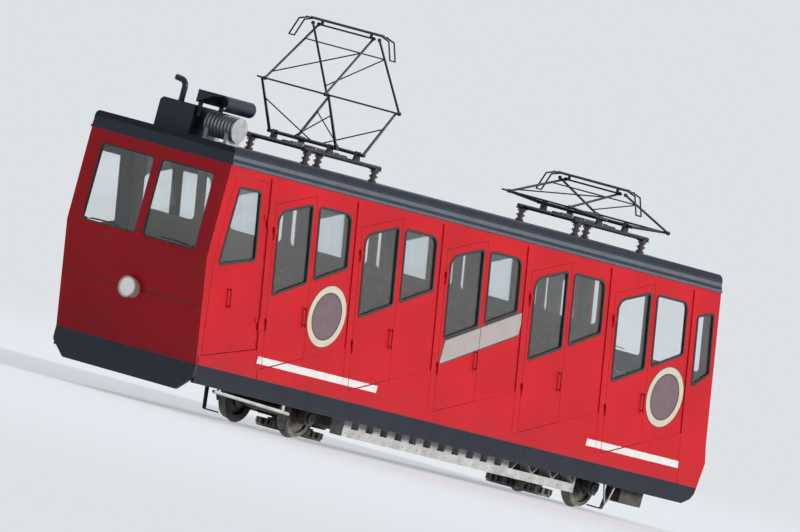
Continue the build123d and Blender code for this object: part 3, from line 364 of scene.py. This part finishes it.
def end_hole(sign, foot):
    """A window of an end wall, as (y, w)."""
    near, far = (sign * y for y in END_PANE_Y)
    return rounded([(near, foot), (far, foot), (far, END_TOP), (near, END_TOP)], END_ROUND)


def rounded(points, radii, steps=7):
    """Outline with its corners turned into arcs."""
    outline = []
    for i, radius in enumerate(radii):
        corner = Vector(points[i])
        back = (Vector(points[i - 1]) - corner).normalized()
        ahead = (Vector(points[(i + 1) % len(points)]) - corner).normalized()
        half = back.angle(ahead) / 2
        centre = corner + (back + ahead).normalized() * (radius / math.sin(half))
        start = corner + back * (radius / math.tan(half)) - centre
        end = corner + ahead * (radius / math.tan(half)) - centre
        sweep = start.angle_signed(end)
        for k in range(steps + 1):
            angle = -sweep * k / steps
            outline.append((centre.x + start.x * math.cos(angle) - start.y * math.sin(angle),
                            centre.y + start.x * math.sin(angle) + start.y * math.cos(angle)))
    return outline


def shifted(points, du):
    return [(u + du, w) for u, w in points]


def grown(points, share):
    """Outline enlarged about the middle of its points."""
    mid_u = sum(u for u, _ in points) / len(points)
    mid_w = sum(w for _, w in points) / len(points)
    return [(u + (u - mid_u) * share, w + (w - mid_w) * share) for u, w in points]


def turn_sign(points):
    """1 for an outline that runs anticlockwise, -1 for one that runs clockwise."""
    area = sum(points[i - 1][0] * p[1] - p[0] * points[i - 1][1] for i, p in enumerate(points))
    return 1 if area > 0 else -1


def offset(points, out):
    """Outline moved outwards."""
    sign = turn_sign(points)
    moved = []
    for i, (a, b) in enumerate(points):
        here, before, after = Vector((a, b)), Vector(points[i - 1]), Vector(points[(i + 1) % len(points)])
        back, ahead = here - before, after - here
        if back.length < 1e-7 or ahead.length < 1e-7:
            along = (after - before).normalized()
            moved.append((a + sign * along.y * out, b - sign * along.x * out))
            continue
        back, ahead = back.normalized(), ahead.normalized()
        back_out = Vector((sign * back.y, -sign * back.x))
        ahead_out = Vector((sign * ahead.y, -sign * ahead.x))
        middle = (back_out + ahead_out).normalized()
        reach = out / max(0.4, middle.dot(back_out))
        moved.append((a + middle.x * reach, b + middle.y * reach))
    return moved


def inside(points, u, w):
    """True for a point within an outline, by counting the edges that it looks across."""
    hit = False
    for i, (ua, wa) in enumerate(points):
        ub, wb = points[i - 1]
        if (wa > w) != (wb > w) and u < (ub - ua) * (w - wa) / (wb - wa) + ua:
            hit = not hit
    return hit


# Faces of the nodes that have a material of their own. A test gets a face's centre and its normal
HAIR = 0.0005           # how far a centre may lie from its plane
PANE_Y = 1.03           # middle of the panes
PANE_REACH = 0.006      # from there past both faces of a pane
PANE_SPARE = 0.02       # share by which a window's outline is enlarged to catch its edge
STRIP_DEPTH = 0.013     # upper part of a pantograph's head that is contact strip


def paint(node, look, test):
    mesh = nodes[node].data
    mesh.materials.append(look)
    index = len(mesh.materials) - 1
    for face in mesh.polygons:
        if test(face.center, face.normal):
            face.material_index = index


def lines_wall(at, out):
    """True for a face on the inner side of a side wall or a door."""
    return abs(abs(at.y) - INNER) < HAIR and out.y * at.y < -0.5


def lines_cantrail(at, out):
    """True for a face of the cantrails that looks into the car."""
    inward = out.y * at.y < -0.5 or (abs(out.x) > 0.3 and out.x * at.x < 0)
    return inward and abs(at.y) < INNER + 0.0002 and (abs(out.y) > 0.9 or abs(at.y) < 0.9)


def in_groove(at, out):
    """True for a face at the bottom of the groove across the uphill end."""
    w = at.z - SILL
    return out.x < 0.3 and abs(w - LAMP_UP_W) < 0.03 and at.x - X0 > nose_u(w) + 0.003


def paint_door(name, hole):
    """Glass in a door's window, rubber round the glass, and lining on the door's inner side."""
    def in_hole(at):
        return inside(hole, at.x - X0, at.z - SILL)

    def is_glass(at, out):
        return abs(out.y) > 0.9 and abs(abs(at.y) - PANE_Y) < PANE_REACH and in_hole(at)

    def is_edge(at, out):
        return abs(out.y) < 0.3 and INNER - 0.001 < abs(at.y) < HALF_W + 0.001 and in_hole(at)

    paint(name, GLASS, is_glass)
    paint(name, LINING, lambda at, out: lines_wall(at, out) and not in_hole(at))
    paint(name, RUBBER, is_edge)


for side, _ in SIDES:
    for n in range(COMPARTMENTS):
        paint_door(f"door_{side}_{n + 1}", grown(shifted(door_pane(), PITCH * n), PANE_SPARE))
    paint_door(f"door_{side}_cab", grown(cab_pane(), PANE_SPARE))
    paint(f"side_wall_{side}", LINING, lines_wall)
paint("cantrails", SLATE, lambda at, out: abs(at.y) > HALF_W - HAIR)
paint("cantrails", LINING, lines_cantrail)
paint("roof", LINING, lambda at, out: out.z < -0.9)
paint("end_wall_uphill", LINING, lambda at, out: out.x > 0.3)
# Painted shade at the bottom of the groove across the uphill end
paint("end_wall_uphill", GROOVE, in_groove)
paint("end_wall_downhill", LINING, lambda at, out: out.x < -0.3)
for name in ("pan_uphill_head", "pan_downhill_head"):
    strip_foot = max(v.co.z for v in nodes[name].data.vertices) - STRIP_DEPTH
    paint(name, CARBON, lambda at, out: at.z > strip_foot)


# Building pieces
WELD = 1e-6             # points closer than this become one
SHARP_DEG = 38          # edges that turn by more stay sharp


def piece(name, verts, faces, look, body, smooth=True, slot=None):
    """New object that rides on a body."""
    mesh = bpy.data.meshes.new(name)
    mesh.from_pydata([tuple(v) for v in verts], [], faces)
    bm = bmesh.new()
    bm.from_mesh(mesh)
    bmesh.ops.remove_doubles(bm, verts=bm.verts, dist=WELD)
    bmesh.ops.recalc_face_normals(bm, faces=bm.faces)
    bm.to_mesh(mesh)
    bm.free()
    obj = bpy.data.objects.new(name, mesh)
    bpy.context.scene.collection.objects.link(obj)
    mesh.materials.append(look)
    if smooth:
        for face in mesh.polygons:
            face.use_smooth = True
        split = obj.modifiers.new("edges", "EDGE_SPLIT")
        split.split_angle = math.radians(SHARP_DEG)
    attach(obj, body)


def circle(middle, side, up, r, sides):
    angles = (2 * math.pi * k / sides for k in range(sides))
    return [middle + side * (r * math.cos(a)) + up * (r * math.sin(a)) for a in angles]


class Build:
    """Collects several solids in one mesh."""

    def __init__(self):
        self.verts, self.faces = [], []

    def loft(self, rings, around=False):
        """Skin over a row of rings, closed at both ends or, with around, joined back to the first ring."""
        size, count, start = len(rings[0]), len(rings), len(self.verts)
        self.verts += [point for ring in rings for point in ring]
        for i in range(count if around else count - 1):
            here, ahead = start + i * size, start + (i + 1) % count * size
            for j in range(size):
                after = (j + 1) % size
                self.faces.append((here + j, here + after, ahead + after, ahead + j))
        if not around:
            last = start + (count - 1) * size
            self.faces += [tuple(range(start, start + size)), tuple(range(last, last + size))]

    def tube(self, path, r, sides=10):
        """Round tube along a list of points."""
        path = [Vector(p) for p in path]
        rings, up = [], None
        for i, middle in enumerate(path):
            ahead = (path[min(i + 1, len(path) - 1)] - path[max(i - 1, 0)]).normalized()
            if up is None:
                up = UP if abs(ahead.z) < 0.9 else ALONG
            side = ahead.cross(up).normalized()
            up = side.cross(ahead).normalized()
            rings.append(circle(middle, side, up, r, sides))
        self.loft(rings)

    def turned(self, origin, axis, profile, sides=24):
        """Turned solid from (distance along the axis, radius) points."""
        axis = Vector(axis).normalized()
        side = axis.orthogonal().normalized()
        up = axis.cross(side)
        self.loft([circle(Vector(origin) + axis * reach, side, up, r, sides) for reach, r in profile])

    def bolt(self, at, axis, r, h):
        """Six-sided head with a smaller top, sunk 1 mm into its seat."""
        self.turned(at, axis, [(-0.001, r), (h * 0.8, r), (h, r * 0.8)], 6)

    def bolts(self, sign, u, y, w, count, r, h):
        """Row of bolts along a side, from one u to another."""
        first, last = (place(end, sign * y, w) for end in u)
        for i in range(count):
            self.bolt(first.lerp(last, i / (count - 1)), (0, sign, 0), r, h)

    def prism(self, outline, y0, y1):
        """Plate from an outline of (u, w) points between two y."""
        self.loft([[place(u, y, w) for u, w in outline] for y in (y0, y1)])

    def done(self, name, look, body, **more):
        piece(name, self.verts, self.faces, look, body, **more)


# Window seals: each profile is a list of (out of the outline, out of the wall)
SEAL = [(-0.010, -0.012), (-0.010, 0.004), (-0.005, 0.008), (0.017, 0.008), (0.022, 0.004), (0.022, -0.001)]
SUNK_SEAL = [(-0.018, -0.0158), (-0.018, -0.009), (-0.010, -0.003), (-0.002, -0.001), (0.0005, -0.004),
             (0.0005, -0.0158)]


def seal(name, outline, spot, body, profile=SEAL):
    """Moulding round an outline; spot turns a point of the outline and a distance out into a place."""
    build = Build()
    build.loft([[spot(a, b, out) for a, b in offset(outline, reach)] for reach, out in profile], around=True)
    build.done(name, RUBBER, body)


def side_spot(sign):
    return lambda u, w, out: place(u, sign * (HALF_W + out), w)


def end_spot(face_u, way):
    return lambda y, w, out: place(face_u(w) + way * out, y, w)


for side, sign in SIDES:
    spot = side_spot(sign)
    for n in range(COMPARTMENTS):
        door = shifted(rounded(door_pane(), DOOR_ROUND), n * PITCH)
        fixed = shifted(rounded(fixed_pane(), FIXED_ROUND), n * PITCH)
        seal(f"seal_door_{side}_{n + 1}", door, spot, f"door_{side}_{n + 1}")
        seal(f"seal_fixed_{side}_{n + 1}", fixed, spot, "car")
    seal(f"seal_door_{side}_cab", rounded(cab_pane(), PLAIN_ROUND), spot, f"door_{side}_cab")
    seal(f"seal_end_{side}", rounded(side_end_pane(), PLAIN_ROUND), spot, "car")
    seal(f"seal_uphill_{side}", end_hole(sign, END_FOOT), end_spot(nose_u, -1), "car", SUNK_SEAL)
    seal(f"seal_downhill_{side}", end_hole(sign, END_FOOT + END_STEP), end_spot(tail_u, 1), "car")


# Livery: plain stripes, a blank panel and plain rings, each a thin film on the surfaces that it crosses
PLINTH_FOOT = 0.096     # w of the plinth's lower edge
PLINTH_OUT = 0.010      # the plinth stands this proud of the side walls
POST_OUT = 0.013        # and the leaning posts this much
STRIP_TOP = 2.2         # w up to which a film may reach
SUNK = 0.001            # how far a film reaches into its surface
FILM = 0.0012           # and how far it stands out
PANEL_FILM = 0.0022
STRIPE_W = (0.27, 0.355)
PANEL_U = (4.63, 6.07)
PANEL_W = (0.760, 1.080)
PANEL_RIM = 0.018       # width of the dark edge round the panel
RINGS_AT = ((2.21, 1.0), (9.33, 1.06))  # (u, w)
RING_SIDES = 72
# Name, look, inner and outer radius, and how far it stands out
RING_PARTS = (("ring", IVORY, 0.288, 0.366, 0.0018), ("ring_edge", RIM, 0.270, 0.376, FILM))
CENTRE = [(-SUNK, 0.272), (0.0010, 0.272)]


def clipped(points, region):
    """Part of a polygon that lies inside a convex region."""
    turn = turn_sign(region)
    for i, b in enumerate(region):
        a = region[i - 1]

        def depth(p):
            return turn * ((b[0] - a[0]) * (p[1] - a[1]) - (b[1] - a[1]) * (p[0] - a[0]))

        kept = []
        for j, p in enumerate(points):
            q = points[j - 1]
            dp, dq = depth(p), depth(q)
            if (dp >= 0) != (dq >= 0):
                f = dq / (dq - dp)
                kept.append((q[0] + (p[0] - q[0]) * f, q[1] + (p[1] - q[1]) * f))
            if dp >= 0:
                kept.append(p)
        points = kept
    return points


def floor_at(line, n, lift=0.0):
    """Where a leaning line meets the stepped floor of compartment n."""
    first = PART_U + n * PITCH + FLOOR_IN
    return meet(line, lean_u(first, FLOOR_W), FLOOR_W + lift, FLOOR_RISE)


def upright(n, line_a, line_b, lift):
    """Region between two leaning lines, above the stepped floor of compartment n."""
    return [floor_at(line_a, n, lift), floor_at(line_b, n, lift), (lean_u(line_b, STRIP_TOP), STRIP_TOP),
            (lean_u(line_a, STRIP_TOP), STRIP_TOP)]


def surfaces(side, n):
    """Each flat stretch of compartment n's side: its body, its distance from the middle and its region."""
    line = PART_U + n * PITCH
    plinth_drop = -0.011
    plinth = [(lean_u(line, PLINTH_FOOT), PLINTH_FOOT), (lean_u(line + PITCH, PLINTH_FOOT), PLINTH_FOOT),
              floor_at(line + PITCH, n, plinth_drop), floor_at(line, n, plinth_drop)]
    # Post, wall, door and wall again, as (body, out, from and to the partition's line, lift of the foot)
    strips = [("car", POST_OUT, -0.045, 0.033, 0.0), ("car", 0.0, 0.036, 0.081, -0.009),
              (f"door_{side}_{n + 1}", 0.0, 0.091, 0.904, 0.001), ("car", 0.0, 0.914, PITCH - 0.048, -0.009)]
    return [("car", HALF_W + PLINTH_OUT, plinth)] + [
        (body, HALF_W + out, upright(n, line + start, line + end, lift))
        for body, out, start, end, lift in strips]


def film(name, outline, look, compartments, thick=FILM):
    """Thin film over the part of an outline that each surface carries, on both sides of the car."""
    for side, sign in SIDES:
        builds = {}
        for n in compartments:
            for body, y, region in surfaces(side, n):
                part = clipped(outline, region)
                if len(part) > 2:
                    builds.setdefault(body, Build()).prism(part, sign * (y - SUNK), sign * (y + thick))
        for body, build in builds.items():
            build.done(f"{name}_{side}_{body}", look, body, smooth=False)


def band(u0, u1, w0, w1, rise=0.0):
    """Outline of a band that rises downhill."""
    lift = rise * (u1 - u0)
    return [(u0, w0), (u1, w0 + lift), (u1, w1 + lift), (u0, w1)]


def flat_ring(name, look, u, w, sign, inner, outer, out):
    """Ring on a side wall, standing out by a little."""
    build = Build()
    rings = [circle(place(u, sign * (HALF_W + lift), w), ALONG, UP, r, RING_SIDES)
             for r, lift in ((inner, -SUNK), (inner, out), (outer, out), (outer, -SUNK))]
    build.loft(rings, around=True)
    build.done(name, look, "car")


film("stripe_uphill", band(1.08, 3.55, *STRIPE_W), WHITE, (0, 1))
film("stripe_downhill", band(7.98, 10.00, *STRIPE_W), WHITE, (3, 4))
panel = band(*PANEL_U, *PANEL_W, PANE_RISE)
film("panel_edge", panel, RIM, (2,))
film("panel", offset(panel, -PANEL_RIM), PALE, (2,), PANEL_FILM)
for side, sign in SIDES:
    for k, (u, w) in enumerate(RINGS_AT):
        for part, look, inner, outer, out in RING_PARTS:
            flat_ring(f"{part}_{side}_{k + 1}", look, u, w, sign, inner, outer, out)
        build = Build()
        build.turned(place(u, sign * HALF_W, w), (0, sign, 0), CENTRE, RING_SIDES)
        build.done(f"ring_centre_{side}_{k + 1}", DISC, "car")


# Headlamps: a bright bowl and a glass, as (distance from the lamp's seat, radius)
LAMP_IN = 0.034         # from an end's face in to the lamp's seat
LAMP_SIDES = 40
BOWL = [(0.1225, 0.0), (0.1228, 0.100), (0.1300, 0.104), (0.1300, 0.106), (0.1225, 0.107)]
LAMP_FACE = [(0.1235, 0.103), (0.1290, 0.103), (0.1325, 0.090), (0.1345, 0.060), (0.1352, 0.0)]
for (end, face_u, way), w in zip(ENDS, (LAMP_UP_W, LAMP_DN_W)):
    seat = place(face_u(w) - way * LAMP_IN, 0, w)
    build = Build()
    build.turned(seat, (way, 0, 0), BOWL, LAMP_SIDES)
    build.done(f"lamp_bowl_{end}", CHROME, "car", slot="lamp")
    build = Build()
    build.turned(seat, (way, 0, 0), LAMP_FACE, LAMP_SIDES)
    build.done(f"lamp_glass_{end}", LAMP_GLASS, "car", slot="glass")

# Wipers, parked along the feet of the end windows
WIPER_Y = 0.80          # pivot
WIPER_RUN = 0.28        # from the pivot to the arm's end
ARM_R = 0.005
BLADE_R = 0.006
BOSS = [(0.0, 0.016), (0.012, 0.016), (0.015, 0.011)]
BOSS_IN = 0.009         # from an arm in to the seat of its boss
BLADE = ((0.72, -0.006), (0.62, 0.001), (0.52, 0.003), (0.42, 0.001), (0.32, -0.006))  # (y, rise)
BLADE_UP = 0.045        # from a window's foot up to its blade


def wipers(end, face_u, way, out, foot, pivot_up):
    """Both wipers of an end, which stand out from its face."""
    build = Build()
    low, high = foot + pivot_up, foot + BLADE_UP
    for sign in (-1, 1):
        build.turned(place(face_u(low) + way * (out - BOSS_IN), sign * WIPER_Y, low), (way, 0, 0), BOSS, 16)
        arm = [(i / 8, low + (high - low) * i / 8) for i in range(9)]
        build.tube([place(face_u(w) + way * out, sign * (WIPER_Y - WIPER_RUN * share), w)
                    for share, w in arm], ARM_R, 8)
        build.tube([place(face_u(high + rise) + way * out, sign * y, high + rise)
                    for y, rise in BLADE], BLADE_R, 8)
    build.done(f"wipers_{end}", RUBBER, "car")


wipers("uphill", nose_u, -1, -0.007, END_FOOT, 0.025)
wipers("downhill", tail_u, 1, 0.010, END_FOOT + END_STEP, -0.045)

# Painted shade: dark navy lines over the gutters and under the edge of the roof sheet, where these throw
# shadow on the cantrails
SHADE_LINES_W = ((2.478, 2.512), (2.558, 2.579))
SHADE_LINE_OUT = 0.004
build = Build()
for _, sign in SIDES:
    for low, high in SHADE_LINES_W:
        line = [(nose_u(low) + SUNK, low), (tail_u(low) - SUNK, low), (tail_u(high) - SUNK, high),
                (nose_u(high) + SUNK, high)]
        build.prism(line, sign * (HALF_W - SUNK), sign * (HALF_W + SHADE_LINE_OUT))
build.done("painted_shade_lines", NAVY, "car", smooth=False, slot="navy_paint")

# Bolts along the skirt
build = Build()
for _, sign in SIDES:
    build.bolts(sign, u=(0.2, 10.1), y=HALF_W, w=0.03, count=34, r=0.008, h=0.005)
build.done("skirt_bolts", NAVY, "car", slot="navy_paint")

# Bolts along the comb casings and round the covers of the axle boxes
COVER_Y = 0.692
COVER_W = -0.22
COVER_R = 0.046         # of the circle that the bolts stand on
build = Build()
for _, sign in SIDES:
    build.bolts(sign, u=(3.42, 8.18), y=0.88, w=-0.275, count=17, r=0.010, h=0.006)
    for u in AXLES_U:
        for at in circle(place(u, sign * COVER_Y, COVER_W), ALONG, UP, COVER_R, 6):
            build.bolt(at, (0, sign, 0), r=0.007, h=0.006)
build.done("running_gear_bolts", ZINC, "car", slot="wheel_steel")

# Coil springs round the pantographs' spring rods
PANS_U = (("uphill", 2.55), ("downhill", 8.23))
COIL_HALF = 0.26        # half a coil's length
COIL_Y = 0.17
COIL_W = 2.854
COIL_R = 0.0245
COIL_WIRE = 0.0045
COIL_TURNS = 22
COIL_STEPS = COIL_TURNS * 12


def coil_point(middle_u, sign, share):
    """Point of a coil's wire at a share of its length."""
    angle = 2 * math.pi * COIL_TURNS * share
    return place(middle_u + COIL_HALF * (2 * share - 1), sign * COIL_Y + COIL_R * math.cos(angle),
                 COIL_W + COIL_R * math.sin(angle))


for name, middle_u in PANS_U:
    build = Build()
    for _, sign in SIDES:
        path = [coil_point(middle_u, sign, i / COIL_STEPS) for i in range(COIL_STEPS + 1)]
        build.tube(path, COIL_WIRE, 6)
    build.done(f"springs_{name}", ZINC, "car", slot="grey_steel")

# A stirrup of bent rod by each downhill wheel, as (u, w)
STIRRUP = ((8.68, -0.13), (8.75, -0.30), (8.79, -0.36), (8.84, -0.30), (8.90, -0.13))
STIRRUP_Y = 0.985
STIRRUP_R = 0.013
build = Build()
for _, sign in SIDES:
    build.tube([place(u, sign * STIRRUP_Y, w) for u, w in STIRRUP], STIRRUP_R)
build.done("stirrups", COMB, "car", slot="light_grey")

# Controls on the driver's desks: four dials and a lever with a knob
DESK_TOPS = ((-0.16, 1.103), (10.10, 1.222))  # (u, w) at the dials
DESK_TILT = 0.16
DIALS_Y = [-0.24 + 0.16 * k for k in range(4)]
DIAL = [(0, 0.046), (0.020, 0.046), (0.024, 0.040)]
DIAL_SUNK = 0.012
KNOB = [(0, 0.010), (0.012, 0.020), (0.028, 0.020), (0.038, 0.010)]
LEVER_Y = 0.32
LEVER_R = 0.008
LEVER = ((0.10, -0.03), (0.11, 0.09))  # (in from the dials, up)
KNOB_IN = 0.11
KNOB_UP = 0.085
for (end, _, way), (u, w) in zip(ENDS, DESK_TOPS):
    build = Build()
    for y in DIALS_Y:
        build.turned(place(u, y, w - DIAL_SUNK), (-DESK_TILT * way, 0, 1), DIAL)
    build.tube([place(u - way * reach, LEVER_Y, w + rise) for reach, rise in LEVER], LEVER_R)
    build.turned(place(u - way * KNOB_IN, LEVER_Y, w + KNOB_UP), UP, KNOB, 16)
    build.done(f"controls_{end}", RUBBER, "car")

# Pale floor that fades into an equally pale room
PALE_ROOM = (0.73, 0.76, 0.80)
ROOM_LIGHT = (0.27, 0.29, 0.32)
FLOOR_COLOUR = (0.45, 0.465, 0.485)
FLOOR_GLOW = 0.42       # seen by the camera, in reflections and through glass, and lights nothing matt
GLOW_COLOUR = (0.92, 0.96, 1.0, 1)
FLOOR_R = 160.0
FLOOR_SIDES = 96
FADE = (14.0, 55.0)     # distances between which the floor fades


def seen(tree):
    """1 for rays from the camera, and for reflections and glass, so that these show the pale room too."""
    path = tree.nodes.new("ShaderNodeLightPath")
    shown = path.outputs["Is Camera Ray"]
    for ray in ("Is Glossy Ray", "Is Transmission Ray"):
        shown = combine(tree, "MAXIMUM", shown, path.outputs[ray])
    return shown


def studio_material():
    """Pale matt sheet that keeps the car's shadow and fades into the room further out."""
    look = material("Studio_floor", FLOOR_COLOUR, 0.85, vary=0.01, bump=0.0, speck=0.0)
    tree, shader = look.node_tree, shader_of(look)
    out = next(n for n in tree.nodes if n.type == "OUTPUT_MATERIAL")
    shown = seen(tree)
    tree.links.new(combine(tree, "MULTIPLY", shown, FLOOR_GLOW), shader.inputs["Emission Strength"])
    shader.inputs["Emission Color"].default_value = GLOW_COLOUR
    away = tree.nodes.new("ShaderNodeVectorMath")
    away.operation = "LENGTH"
    tree.links.new(spot_of(look), away.inputs[0])
    fade = tree.nodes.new("ShaderNodeMapRange")
    fade.interpolation_type = "SMOOTHSTEP"
    tree.links.new(away.outputs["Value"], fade.inputs[0])
    fade.inputs[1].default_value, fade.inputs[2].default_value = FADE
    room = tree.nodes.new("ShaderNodeEmission")
    room.inputs[0].default_value = (*PALE_ROOM, 1)
    mix = tree.nodes.new("ShaderNodeMixShader")
    tree.links.new(combine(tree, "MULTIPLY", shown, fade.outputs[0]), mix.inputs[0])
    tree.links.new(shader.outputs[0], mix.inputs[1])
    tree.links.new(room.outputs[0], mix.inputs[2])
    tree.links.new(mix.outputs[0], out.inputs[0])
    return look


rim = circle(Vector(), ALONG, ASIDE, FLOOR_R, FLOOR_SIDES)
mesh = bpy.data.meshes.new("floor")
mesh.from_pydata(rim, [], [tuple(range(FLOOR_SIDES))])
ground = bpy.data.objects.new("studio_floor", mesh)
bpy.context.scene.collection.objects.link(ground)
mesh.materials.append(studio_material())

world = bpy.data.worlds.new("Studio")
bpy.context.scene.world = world
world.use_nodes = True
tree = world.node_tree
background = tree.nodes["Background"]
tree.links.new(blend(tree, seen(tree), ROOM_LIGHT, PALE_ROOM), background.inputs[0])
background.inputs[1].default_value = 1.0


# Light
def sun(name, spot, strength, soft, colour):
    """Sun that shines from the direction of a spot, over an angle in degrees."""
    data = bpy.data.lights.new(name, "SUN")
    data.energy = strength
    data.angle = math.radians(soft)
    data.color = colour
    lamp = bpy.data.objects.new(name, data)
    lamp.rotation_euler = (-Vector(spot)).to_track_quat("-Z", "Y").to_euler()
    bpy.context.scene.collection.objects.link(lamp)


sun("key", (6.5, -17.0, 7.0), 2.9, 16, (1.0, 0.975, 0.94))
sun("fill", (2.0, 17.0, 10.0), 0.8, 60, (0.94, 0.97, 1.0))

# Camera: it looks from the uphill side on the near side, turned so that the track falls to the right
GRADE = math.radians(24.8)
TOWARD = (-0.812, -0.583, 0.008)  # from the car to the camera
LENS = 900              # in millimetres
SENSOR = 36
PICTURE = (800, 532)
MARGIN = 1.05
CLIP_END = 1000


def framing():
    """Directions right, up and towards the camera, the middle of the view and its width."""
    toward = Vector(TOWARD).normalized()
    right = Vector((-math.sin(GRADE), 0, math.cos(GRADE))).cross(toward).normalized()
    up = toward.cross(right).normalized()
    corners = []
    for name in nodes:
        low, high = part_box(name)
        corners += [Vector((x, y, z)) for x in (low[0], high[0]) for y in (low[1], high[1])
                    for z in (low[2], high[2])]
    across = [c.dot(right) for c in corners]
    along = [c.dot(up) for c in corners]
    high_as_wide = (max(along) - min(along)) * PICTURE[0] / PICTURE[1]
    width = max(max(across) - min(across), high_as_wide) * MARGIN
    middle = right * ((max(across) + min(across)) / 2) + up * ((max(along) + min(along)) / 2)
    return right, up, toward, middle, width


right, up, toward, middle, width = framing()
camera = bpy.data.cameras.new("camera")
camera.sensor_width = SENSOR
camera.lens = LENS
camera.clip_end = CLIP_END
eye = bpy.data.objects.new("camera", camera)
turn = Matrix((right, up, toward)).transposed().to_4x4()
eye.matrix_world = Matrix.Translation(middle + toward * (width * LENS / SENSOR)) @ turn
bpy.context.scene.collection.objects.link(eye)
bpy.context.scene.camera = eye
bpy.context.scene.view_settings.view_transform = "Standard"
